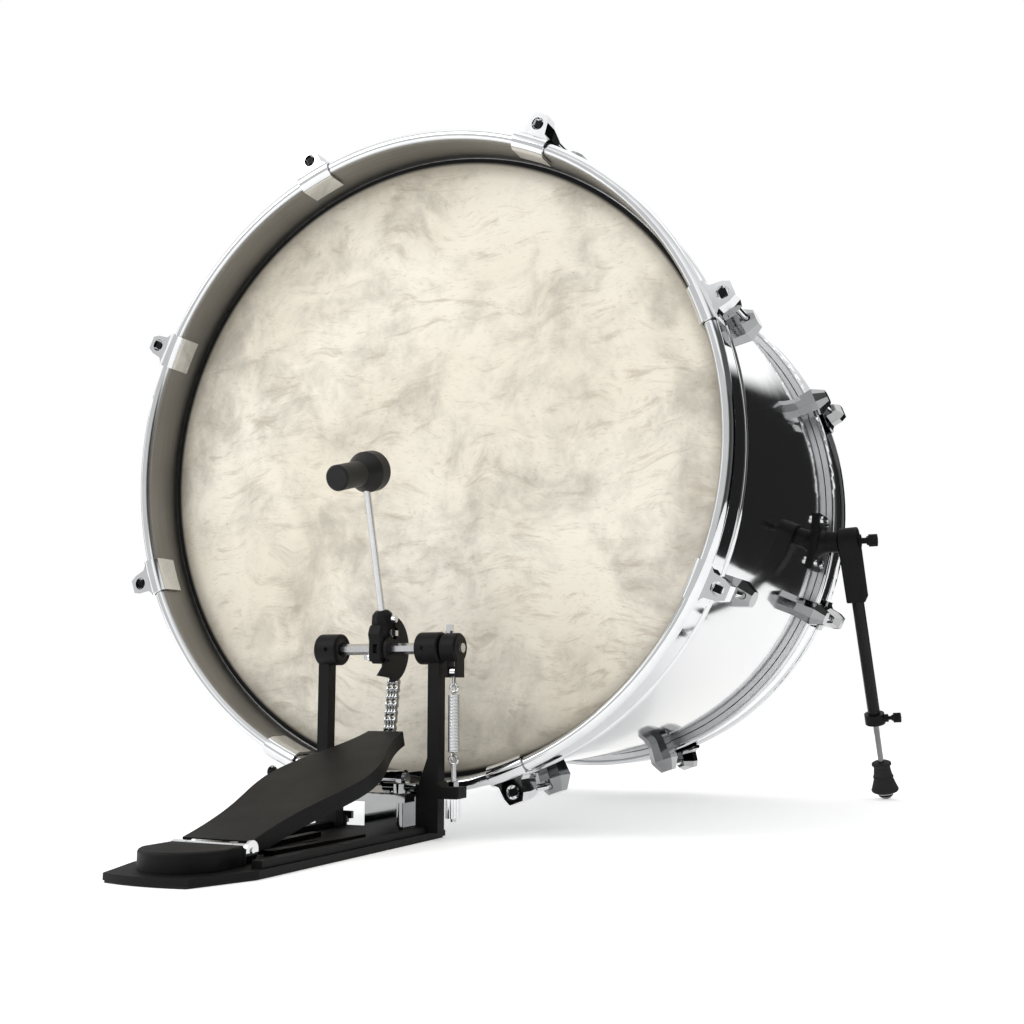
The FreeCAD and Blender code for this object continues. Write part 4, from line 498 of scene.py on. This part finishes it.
class DrumLook(bpy.types.PropertyGroup):
    """Colours and finishes of the drum."""

    head_pale: colour_property("Head pale", "Lightest tone of the head", (0.92, 0.87, 0.755))
    head_warm: colour_property("Head warm", "Warm tone of the head", (0.83, 0.765, 0.635))
    head_cloud: colour_property("Head cloud", "Grey-brown clouds of the head", (0.42, 0.385, 0.325))
    head_vein: colour_property("Head vein", "Fibres and streaks of the head", (0.42, 0.35, 0.26))
    # Used both for the head's real flecks and, darkened, for the painted shade at its rim.
    head_fleck_and_edge_shade: colour_property("Head fleck", "Darkest flecks of the head", (0.20, 0.16, 0.11))
    # Radius where the head's black band of painted shadow starts.
    edge_shadow_radius: length_property("Ring radius", "Where the head's black edge ring starts", 0.2758)
    wall: colour_property("Hoop wall", "Satin inner wall of the hoops", (0.31, 0.306, 0.295))
    wall_radius: length_property("Wall radius", "Radius of the hoops' inner wall", 0.281)
    chrome: colour_property("Chrome", "Tone of the plated metal", (0.76, 0.77, 0.78))
    chrome_roughness: FloatProperty(name="Chrome roughness", description="Roughness of the plating",
                                    default=0.06, min=0.0, max=1.0)
    # Painted shade: the darker copy of the chrome keeps this share of its tone, standing in for the dark
    # surroundings that lugs, claws, chain and clamp reflect.
    chrome_painted_shade: FloatProperty(name="Smoke", description="How much light the smoked plating keeps",
                         default=0.42, min=0.0, max=1.0)
    wrap: colour_property("Wrap", "Tone of the shell's mirror wrap", (0.70, 0.705, 0.71))
    wrap_roughness: FloatProperty(name="Wrap roughness", description="Roughness of the mirror wrap",
                                  default=0.065, min=0.0, max=1.0)
    rubber: colour_property("Rubber", "Rubber feet, liners and pad", (0.016, 0.016, 0.016))
    gloss_black: colour_property("Gloss black", "Tubes of the spurs", (0.010, 0.010, 0.011))


class PedalLook(bpy.types.PropertyGroup):
    """Sizes and colours of the pedal."""

    coat: colour_property("Coat", "Black powder coat", (0.0055, 0.0055, 0.0057))
    coat_roughness: FloatProperty(name="Coat roughness", description="Roughness of the powder coat",
                                  default=0.50, min=0.0, max=1.0)
    beater: colour_property("Beater", "Moulded beater", (0.012, 0.012, 0.012))
    steel: colour_property("Steel", "Shaft, rods and bearings", (0.62, 0.62, 0.63))
    link_pitch: length_property("Link pitch", "Distance between the chain's pins", 6.35 * MM)
    plate_thickness: length_property("Plate thickness", "Thickness of one chain plate", 0.8 * MM)
    plate_height: length_property("Plate height", "Height of one chain plate", 5.2 * MM)
    chain_radius: length_property("Chain radius", "Distance of the wrapped chain from the shaft", 25.0 * MM)
    wrapped_links: IntProperty(name="Wrapped links", description="Links that lie on the cam", default=6,
                               min=0)
    spring_wire: length_property("Spring wire", "Diameter of the spring's wire", 1.15 * MM)


class StudioLook(bpy.types.PropertyGroup):
    """Floor, lights and camera."""

    floor: colour_property("Floor", "Tone of the floor", (0.90, 0.90, 0.90))
    lens: FloatProperty(name="Lens", description="Focal length of the camera in millimetres",
                        default=43.63, min=1.0)
    camera_place: FloatVectorProperty(name="Camera place", description="Where the camera stands",
                                      default=(0.52905, HOOP_FRONT - 0.92105, 0.11899),
                                      unit="LENGTH", size=3)
    camera_aim: FloatVectorProperty(name="Camera aim", description="Direction in which the camera looks",
                                    default=(-0.41456, 0.89909, 0.14064), size=3, subtype="DIRECTION")
    floor_radius: length_property("Floor radius", "Radius of the lit floor", 2.4)
    key_power: FloatProperty(name="Key power", description="Power of the key softbox in watts",
                             default=21.0, min=0.0)
    overhead_power: FloatProperty(name="Overhead power", description="Power of the softbox overhead",
                                  default=15.0, min=0.0)


def finish(name):
    """One of the shared finishes, made when first asked for."""
    if name in FINISHES:
        return FINISHES[name]
    drum = bpy.context.scene.drum_look
    pedal = bpy.context.scene.pedal_look
    makers = {
        "Plated chrome": lambda: chrome_finish("Plated chrome", drum.chrome, drum.chrome_roughness),
        # Painted shade: a darkened copy of the plated chrome.
        "Chrome darkened as painted shade": lambda: chrome_finish("Chrome darkened as painted shade", shade(drum.chrome, drum.chrome_painted_shade),
                                               drum.chrome_roughness),
        "Plated hoop": lambda: hoop_finish("Plated hoop", drum),
        "Tension rod": lambda: rod_finish("Tension rod", drum.chrome, drum.chrome_roughness,
                                          ROD_HALF_SPAN - ROD_HEAD_LENGTH),
        "Mirror wrap": lambda: mirror_wrap_finish("Mirror wrap", drum.wrap, drum.wrap_roughness),
        "Skin-look head": lambda: head_finish("Skin-look head", drum),
        "Powder coat": lambda: powder_coat_finish("Powder coat", pedal.coat, pedal.coat_roughness),
        "Moulded black": lambda: moulded_finish("Moulded black", pedal.beater, 0.42),
        "Rubber": lambda: moulded_finish("Rubber", drum.rubber, 0.68, 1300.0, 0.3),
        "Gloss black": lambda: powder_coat_finish("Gloss black", drum.gloss_black, 0.22),
        "Turned steel": lambda: turned_finish("Turned steel", pedal.steel, 0.26),
        "Dark steel": lambda: turned_finish("Dark steel", shade(pedal.steel, 0.35), 0.22),
        "Drawn aluminium": lambda: turned_finish("Drawn aluminium", (0.70, 0.70, 0.71), 0.34),
        "Turned brass": lambda: turned_finish("Turned brass", (0.72, 0.55, 0.28), 0.30),
    }
    FINISHES[name] = makers[name]()
    return FINISHES[name]


# ------------------------------------------------------------------ drum
class DRUM_OT_heads(bpy.types.Operator):
    """Skin-look film on both heads and drawn aluminium flesh hoops"""

    bl_idname = "drum.heads"
    bl_label = "Heads"

    def execute(self, context):
        dress(["batter_head", "resonant_head"], finish("Skin-look head"))
        dress(["flesh_hoops"], finish("Drawn aluminium"))
        return {"FINISHED"}


class DRUM_OT_hoops(bpy.types.Operator):
    """Plated counter hoops"""

    bl_idname = "drum.hoops"
    bl_label = "Hoops"

    def execute(self, context):
        dress(["batter_hoop", "resonant_hoop"], finish("Plated hoop"))
        return {"FINISHED"}


class DRUM_OT_shell(bpy.types.Operator):
    """Mirror wrap on the shell, and its plated vent"""

    bl_idname = "drum.shell"
    bl_label = "Shell"

    def execute(self, context):
        dress(["shell"], finish("Mirror wrap"))
        dress(["air_vent"], finish("Plated chrome"))
        return {"FINISHED"}


class DRUM_OT_hardware(bpy.types.Operator):
    """Claws, liners, tension rods and lugs"""

    bl_idname = "drum.hardware"
    bl_label = "Claws, rods and lugs"

    def execute(self, context):
        dress(["batter_claws", "lug_screws"], finish("Plated chrome"))
        # Painted shade: resonant claws and lugs get the darkened copy of the chrome.
        dress(["resonant_claws", "batter_lugs", "resonant_lugs"], finish("Chrome darkened as painted shade"))
        dress(["tension_rods"], finish("Tension rod"))
        dress(["claw_liners"], finish("Rubber"))
        dress(["lug_nuts"], finish("Turned brass"))
        return {"FINISHED"}


# Spur foot, in millimetres: (distance from its top, radius), then (distance back from its end, radius)
FOOT_FROM_TOP = ((0.0, 5.2), (0.3, 9.0), (1.0, 10.2), (2.6, 10.4), (3.4, 9.6), (4.2, 8.6),
                 (8.0, 8.8), (15.0, 9.9), (15.5, 10.6), (16.6, 10.8), (17.2, 10.0), (18.0, 10.1))
FOOT_FROM_END = ((8.0, 13.6), (6.6, 14.3), (5.4, 14.2), (4.9, 12.6))
FOOT_TIP = ((5.2, 11.0), (4.4, 11.8), (3.4, 10.9), (2.0, 8.6), (0.8, 5.4), (0.1, 1.6), (0.0, 0.3))
FOOT_SEGMENTS = 56


class DRUM_OT_spurs(bpy.types.Operator):
    """Folding spurs with their brackets, tubes, rods, thumb screws and feet"""

    bl_idname = "drum.spurs"
    bl_label = "Spurs"

    def execute(self, context):
        dress(["bracket_screws"], finish("Plated chrome"))
        dress(["spur_brackets"], finish("Powder coat"))
        for side in ("left_", "right_"):
            dress([side + "spur_housing"], finish("Powder coat"))
            dress([side + "spur_tube"], finish("Gloss black"))
            dress([side + "spur_collar", side + "housing_screw", side + "collar_screw"],
                  finish("Powder coat"))
            dress([side + "spur_rod"], finish("Dark steel"))
            self.add_foot(side)
        return {"FINISHED"}

    def add_foot(self, side):
        """Flared rubber foot with a neck, a ring line and a bare metal tip."""
        down = Vector(JOINTS[side + "spur_extend"]["axis"]).normalized()
        pivot = joint_place(side + "spur_fold")
        node = NODES[side + "spur_foot"]
        reach = [(node.matrix_world @ v.co - pivot).dot(down) for v in node.data.vertices]
        start, length = min(reach), max(reach) - min(reach)
        top = pivot + down * start
        rubber = bmesh.new()
        profile = [(along * MM, radius * MM) for along, radius in FOOT_FROM_TOP]
        profile += [(length - back * MM, radius * MM) for back, radius in FOOT_FROM_END]
        add_lathe(rubber, top, down, profile, FOOT_SEGMENTS)
        foot = new_object(side + "foot_rubber", rubber, finish("Rubber"), side + "spur_rod")
        smooth_by_angle(foot)
        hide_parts(side + "spur_foot")
        metal = bmesh.new()
        profile = [(length - back * MM, radius * MM) for back, radius in FOOT_TIP]
        add_lathe(metal, top, down, profile, FOOT_SEGMENTS)
        tip = new_object(side + "foot_tip", metal, finish("Turned steel"), side + "spur_rod")
        smooth_by_angle(tip)


# ------------------------------------------------------------------ pedal
SEAL_MARGIN = 2.6 * MM
SEAL_SINK = 0.4 * MM
SEAL_BORE = 5.0 * MM
SEAL_DEPTH = 2.0 * MM


class PEDAL_OT_frame(bpy.types.Operator):
    """Base, heel, hinge, posts and bearing housings"""

    bl_idname = "pedal.frame"
    bl_label = "Pedal frame"

    def execute(self, context):
        coated = ["base_plate", "heel_plate", "left_post", "right_post", "left_bearing_housing",
                  "right_bearing_housing", "spring_arm"]
        dress(coated, finish("Powder coat"))
        dress(["base_pad"], finish("Rubber"))
        dress(["heel_hinge", "footboard_hinge", "pivot_pins"], finish("Plated chrome"))
        # Painted shade: the pedal screws get the darkened copy of the chrome.
        dress(["pedal_screws"], finish("Chrome darkened as painted shade"))
        dress(["shaft_bearings"], finish("Turned steel"))
        for side in ("left", "right"):
            self.add_seal(side)
        return {"FINISHED"}

    def add_seal(self, side):
        """Black ring that closes the housing's mouth round the shaft."""
        low, high = low_corner(side + "_bearing_housing"), high_corner(side + "_bearing_housing")
        face_x = high.x if side == "left" else low.x
        inward = -X_AXIS if side == "left" else X_AXIS
        outer = (high.z - low.z) / 2 - SEAL_MARGIN
        start = Vector((face_x, SHAFT.y, SHAFT.z)) + inward * SEAL_SINK
        bm = bmesh.new()
        add_tube(bm, start, inward, [
            (0.6 * MM, outer), (0.0, outer - 0.6 * MM), (0.0, SEAL_BORE + 1.6 * MM),
            (0.9 * MM, SEAL_BORE + 1.0 * MM), (0.9 * MM, SEAL_BORE), (SEAL_DEPTH, SEAL_BORE),
            (SEAL_DEPTH, outer)])
        seal = new_object(side + "_bearing_seal", bm, finish("Moulded black"), "root")
        smooth_by_angle(seal)


# Sleeve above the hub and its screw, in millimetres: (distance along, radius)
SLEEVE_ABOVE_SHAFT = 12.0
SLEEVE_BORE = 2.9
SLEEVE_PROFILE = ((0.0, SLEEVE_BORE), (0.0, 9.4), (11.0, 9.8), (17.5, 8.6), (20.5, 5.6), (20.5, SLEEVE_BORE))
SLEEVE_SIDES = 8
SLEEVE_ROUNDING = 0.6
SLEEVE_SCREW_UP = 13.0
SLEEVE_SCREW_OUT = 8.2
SLEEVE_SCREW_PROFILE = ((0.0, 2.0), (1.4, 2.0), (1.5, 3.0), (4.6, 3.0), (5.0, 2.6))


class PEDAL_OT_drive(bpy.types.Operator):
    """Footboard, shaft, hub, cam, rocker and beater"""

    bl_idname = "pedal.drive"
    bl_label = "Pedal drive"

    def execute(self, context):
        dress(["footboard", "beater_hub", "cam", "rocker"], finish("Powder coat"))
        dress(["shaft", "beater_rod"], finish("Turned steel"))
        dress(["key_screws"], finish("Plated chrome"))
        dress(["beater_head"], finish("Moulded black"))
        self.add_hub_sleeve()
        return {"FINISHED"}

    def add_hub_sleeve(self):
        """Faceted sleeve that carries the beater rod above the hub."""
        up = Vector(JOINTS["beater_height"]["axis"]).normalized()
        rod = middle("beater_rod")
        foot = rod + up * ((SHAFT.z + SLEEVE_ABOVE_SHAFT * MM - rod.z) / up.z)
        sleeve = bmesh.new()
        add_tube(sleeve, foot, up, [(along * MM, radius * MM) for along, radius in SLEEVE_PROFILE],
                 SLEEVE_SIDES)
        made = new_object("hub_sleeve", sleeve, finish("Powder coat"), "beater_shaft", False)
        made.modifiers.new("Edge round", "BEVEL").width = SLEEVE_ROUNDING * MM
        screw = bmesh.new()
        start = foot + up * (SLEEVE_SCREW_UP * MM) + X_AXIS * (SLEEVE_SCREW_OUT * MM)
        add_lathe(screw, start, X_AXIS,
                  [(along * MM, radius * MM) for along, radius in SLEEVE_SCREW_PROFILE], 24)
        head = new_object("hub_sleeve_screw", screw, finish("Plated chrome"), "beater_shaft")
        smooth_by_angle(head)


class PEDAL_OT_clamp(bpy.types.Operator):
    """Hoop clamp with its screw"""

    bl_idname = "pedal.clamp"
    bl_label = "Hoop clamp"

    def execute(self, context):
        # Painted shade: the clamp gets the darkened copy of the chrome.
        dress(["clamp_cradle", "clamp_jaw", "clamp_screw"], finish("Chrome darkened as painted shade"))
        return {"FINISHED"}


def add_link(bm, start, along, outward, across, pitch, rows, thickness, height):
    """Plates of one link: two round ends with a narrower waist, at each row across the chain."""
    radius = height / 2
    waist = radius * 0.72
    outline = []
    for k in range(9):
        angle = math.radians(50 + 260 * k / 8)
        outline.append((radius * math.cos(angle), radius * math.sin(angle)))
    outline.append((pitch / 2, -waist))
    for k in range(9):
        angle = math.radians(230 + 260 * k / 8)
        outline.append((pitch + radius * math.cos(angle), radius * math.sin(angle)))
    outline.append((pitch / 2, waist))
    for row in rows:
        points = [start + along * a + outward * b + across * (row - thickness / 2) for a, b in outline]
        add_prism(bm, points, across * thickness)


def add_pin(bm, centre, across, half, roller_rows, look):
    """Pin through the whole chain with a roller in each strand."""
    radius = look.plate_height * 0.19
    head = look.plate_height * 0.26
    add_lathe(bm, centre - across * half, across,
              [(0.0, head * 0.6), (0.25 * MM, head), (0.7 * MM, head), (0.7 * MM, radius),
               (2 * half - 0.7 * MM, radius), (2 * half - 0.7 * MM, head), (2 * half - 0.25 * MM, head),
               (2 * half, head * 0.6)], 16)
    roller = look.plate_height * 0.36
    width = 2.2 * MM
    for row in roller_rows:
        add_lathe(bm, centre + across * (row - width / 2), across,
                  [(0.0, roller * 0.9), (0.2 * MM, roller), (width - 0.2 * MM, roller),
                   (width, roller * 0.9)], 16)


class PEDAL_OT_chain(bpy.types.Operator):
    """Double roller chain: the hanging run, and the links that lie on the cam"""

    bl_idname = "pedal.chain"
    bl_label = "Chain"

    def execute(self, context):
        look = context.scene.pedal_look
        low, high = low_corner("chain"), high_corner("chain")
        centre_x = (low.x + high.x) / 2
        half = (high.x - low.x) / 2
        pin_foot = Vector((centre_x, TOE_PIN.y, TOE_PIN.z))
        reach_y = SHAFT.y - pin_foot.y
        reach_z = SHAFT.z - pin_foot.z
        lean = math.atan2(reach_y, reach_z) + math.asin(look.chain_radius / math.hypot(reach_y, reach_z))
        along = Vector((0, math.sin(lean), math.cos(lean)))
        outward = Vector((0, math.cos(lean), -math.sin(lean)))
        tangent = Vector((centre_x, SHAFT.y, SHAFT.z)) + outward * look.chain_radius
        pitch = look.link_pitch
        count = int((tangent - pin_foot).length / pitch)
        strand = half * 0.48
        inner_rows = [-strand * 1.5, -strand * 0.5, strand * 0.5, strand * 1.5]
        outer_rows = [-half + look.plate_thickness * 1.0, 0.0, half - look.plate_thickness * 1.0]
        hanging = bmesh.new()
        for k in range(count + 1):
            centre = pin_foot + along * (pitch * k)
            add_pin(hanging, centre, X_AXIS, half, (-strand, strand), look)
            if k < count:
                rows = inner_rows if k % 2 else outer_rows
                add_link(hanging, centre, along, outward, X_AXIS, pitch, rows, look.plate_thickness,
                         look.plate_height)
        # Painted shade: the hanging chain gets the darkened copy of the chrome.
        run = new_object("chain_run", hanging, finish("Chrome darkened as painted shade"), "chain")
        smooth_by_angle(run, 40.0)
        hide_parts("chain")

        wrapped = bmesh.new()
        last = pin_foot + along * (pitch * count)
        overrun = pitch - (tangent - last).length
        step = 2 * math.asin(pitch / 2 / look.chain_radius)
        axis_point = Vector((centre_x, SHAFT.y, SHAFT.z))
        first_angle = -lean + overrun / look.chain_radius
        place = last
        for k in range(look.wrapped_links):
            angle = first_angle + step * k
            following = axis_point + Vector((0, math.cos(angle), math.sin(angle))) * look.chain_radius
            heading = (following - place).normalized()
            out = heading.cross(X_AXIS).normalized()
            rows = inner_rows if (count + k) % 2 else outer_rows
            if k:
                add_pin(wrapped, place, X_AXIS, half, (-strand, strand), look)
            add_link(wrapped, place, heading, out, X_AXIS, (following - place).length, rows,
                     look.plate_thickness, look.plate_height)
            place = following
        add_pin(wrapped, place, X_AXIS, half, (-strand, strand), look)
        # Painted shade: the links on the cam get the darkened copy of the chrome.
        wrap = new_object("chain_on_cam", wrapped, finish("Chrome darkened as painted shade"), "beater_shaft")
        smooth_by_angle(wrap, 40.0)
        return {"FINISHED"}


class PEDAL_OT_spring(bpy.types.Operator):
    """Close-wound spring with a loop at each end, its swivel, threaded rod and adjuster"""

    bl_idname = "pedal.spring"
    bl_label = "Spring"

    def execute(self, context):
        look = context.scene.pedal_look
        low, high = low_corner("spring"), high_corner("spring")
        axis_x = (low.x + high.x) / 2
        axis_y = (low.y + high.y) / 2
        wire = look.spring_wire
        radius = (high.x - low.x) / 2 - wire / 2
        loop_radius = 3.6 * MM
        loop_rise = loop_radius * 2
        start = Vector((axis_x, axis_y, low.z + loop_rise))
        turns = (high.z - low.z - 2 * loop_rise) / wire
        coil = helix(start, Z_AXIS, radius, wire, turns, 14)
        body = curve_piece("spring_coil", coil, wire / 2, finish("Plated chrome"), "spring",
                           False)
        for end, sign in ((low.z + loop_rise, -1), (high.z - loop_rise, 1)):
            centre = Vector((axis_x, axis_y, end + sign * loop_radius))
            ring = [centre + Vector((0, loop_radius * math.sin(a), -sign * loop_radius * math.cos(a)))
                    for a in [2 * math.pi * k / 24 for k in range(23)]]
            ring.insert(0, Vector((axis_x, axis_y + radius, end)))
            name = "spring_top_loop" if sign > 0 else "spring_bottom_loop"
            curve_piece(name, ring, wire * 0.55, finish("Plated chrome"), "spring")
        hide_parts("spring")
        dress(["spring_link", "spring_adjuster"], finish("Plated chrome"))
        dress(["spring_rod"], finish("Turned steel"))
        return {"FINISHED"}


# ------------------------------------------------------------------ studio
def aim(lamp, target):
    lamp.rotation_euler = (Vector(target) - lamp.location).to_track_quat("-Z", "Y").to_euler()


def add_softbox(name, place, target, size, power):
    light = bpy.data.lights.new(name, "AREA")
    light.shape = "RECTANGLE"
    light.size, light.size_y = size
    light.energy = power
    lamp = bpy.data.objects.new(name, light)
    bpy.context.collection.objects.link(lamp)
    lamp.location = place
    aim(lamp, target)
    return lamp


class STAGE_OT_studio(bpy.types.Operator):
    """Pale floor, white surroundings with a dark far wall, softboxes and the camera"""

    bl_idname = "stage.studio"
    bl_label = "Studio"

    def execute(self, context):
        look = context.scene.studio_look
        scene = context.scene
        scene.view_settings.view_transform = "Standard"
        scene.view_settings.look = "None"
        self.add_floor(look)
        self.light_world(scene)
        add_softbox("Key softbox", (-1.5, -2.0, 2.0), DRUM_CENTRE, (1.4, 1.4), look.key_power)
        add_softbox("Overhead softbox", (0.2, 0.2, 2.6), DRUM_CENTRE, (2.6, 2.6), look.overhead_power)
        self.add_camera(scene, look)
        return {"FINISHED"}

    def add_floor(self, look):
        bm = bmesh.new()
        segments = 96
        points = [Vector((look.floor_radius * math.cos(a), look.floor_radius * math.sin(a), 0))
                  for a in [2 * math.pi * k / segments for k in range(segments)]]
        bm.faces.new([bm.verts.new(p) for p in points])
        mesh = bpy.data.meshes.new("floor")
        bm.to_mesh(mesh)
        bm.free()
        floor = bpy.data.objects.new("floor", mesh)
        bpy.context.collection.objects.link(floor)
        finish_of_floor = Finish("Studio floor", Roughness=0.75, Specular_IOR_Level=0.1,
                                 Emission_Color=opaque((1.0, 1.0, 1.0)), Emission_Strength=0.42)
        place = finish_of_floor.place()
        tone = finish_of_floor.blend(finish_of_floor.noise(place, 3.0, 3.0, 0.5), opaque(look.floor),
                                     opaque(shade(look.floor, 0.985)))
        mesh.materials.append(finish_of_floor.feed(Base_Color=tone))

    def light_world(self, scene):
        world = bpy.data.worlds.new("Studio surroundings")
        world.use_nodes = True
        scene.world = world
        graph = Graph(world)
        background = next(n for n in graph.tree.nodes if n.type == "BACKGROUND")
        direction = graph.node("ShaderNodeTexCoord", output="Generated")
        x, y, z = graph.axes(direction)
        low_band = 1.0 - graph.smooth(z, 0.30, 0.33)
        far_wall = low_band * graph.smooth(y, 0.05, 0.40)
        side_wall = (1.0 - graph.smooth(z, 0.55, 0.62)) * graph.smooth(x, 0.25, 0.60)
        near_wall = low_band * graph.smooth(0.0 - y, 0.1, 0.5)
        sky = graph.remap(z, 0.3, 1.0, 1.30, 0.60)
        level = sky * (1.0 - far_wall * 0.985) * (1.0 - side_wall * 0.90) * (1.0 - near_wall * 0.45)
        seen = graph.node("ShaderNodeLightPath", output="Is Camera Ray")
        strength = level * (1.0 - seen) + seen
        background.inputs["Color"].default_value = opaque((1.0, 1.0, 1.0))
        graph.tree.links.new(strength.socket, background.inputs["Strength"])

    def add_camera(self, scene, look):
        data = bpy.data.cameras.new("Camera")
        data.lens = look.lens
        data.sensor_width = 36.0
        data.clip_start = 0.01
        camera = bpy.data.objects.new("Camera", data)
        bpy.context.collection.objects.link(camera)
        camera.location = look.camera_place
        camera.rotation_euler = Vector(look.camera_aim).to_track_quat("-Z", "Y").to_euler()
        scene.camera = camera


class STAGE_PT_panel(bpy.types.Panel):
    """Every step of the bass drum in one place"""

    bl_idname = "STAGE_PT_panel"
    bl_label = "Bass drum"
    bl_space_type = "VIEW_3D"
    bl_region_type = "UI"
    bl_category = "Bass Drum"

    def draw(self, context):
        for operator in OPERATORS:
            self.layout.operator(operator.bl_idname)


OPERATORS = (DRUM_OT_heads, DRUM_OT_hoops, DRUM_OT_shell, DRUM_OT_hardware, DRUM_OT_spurs,
             PEDAL_OT_frame, PEDAL_OT_drive, PEDAL_OT_clamp, PEDAL_OT_chain, PEDAL_OT_spring,
             STAGE_OT_studio)
GROUPS = (("drum_look", DrumLook), ("pedal_look", PedalLook), ("studio_look", StudioLook))


def register():
    for name, group in GROUPS:
        bpy.utils.register_class(group)
        setattr(bpy.types.Scene, name, PointerProperty(type=group))
    for operator in OPERATORS:
        bpy.utils.register_class(operator)
    bpy.utils.register_class(STAGE_PT_panel)


def unregister():
    bpy.utils.unregister_class(STAGE_PT_panel)
    for operator in reversed(OPERATORS):
        bpy.utils.unregister_class(operator)
    for name, group in reversed(GROUPS):
        delattr(bpy.types.Scene, name)
        bpy.utils.unregister_class(group)


def main():
    register()
    for operator in OPERATORS:
        group, name = operator.bl_idname.split(".")
        getattr(getattr(bpy.ops, group), name)()


if __name__ == "__main__":
    main()
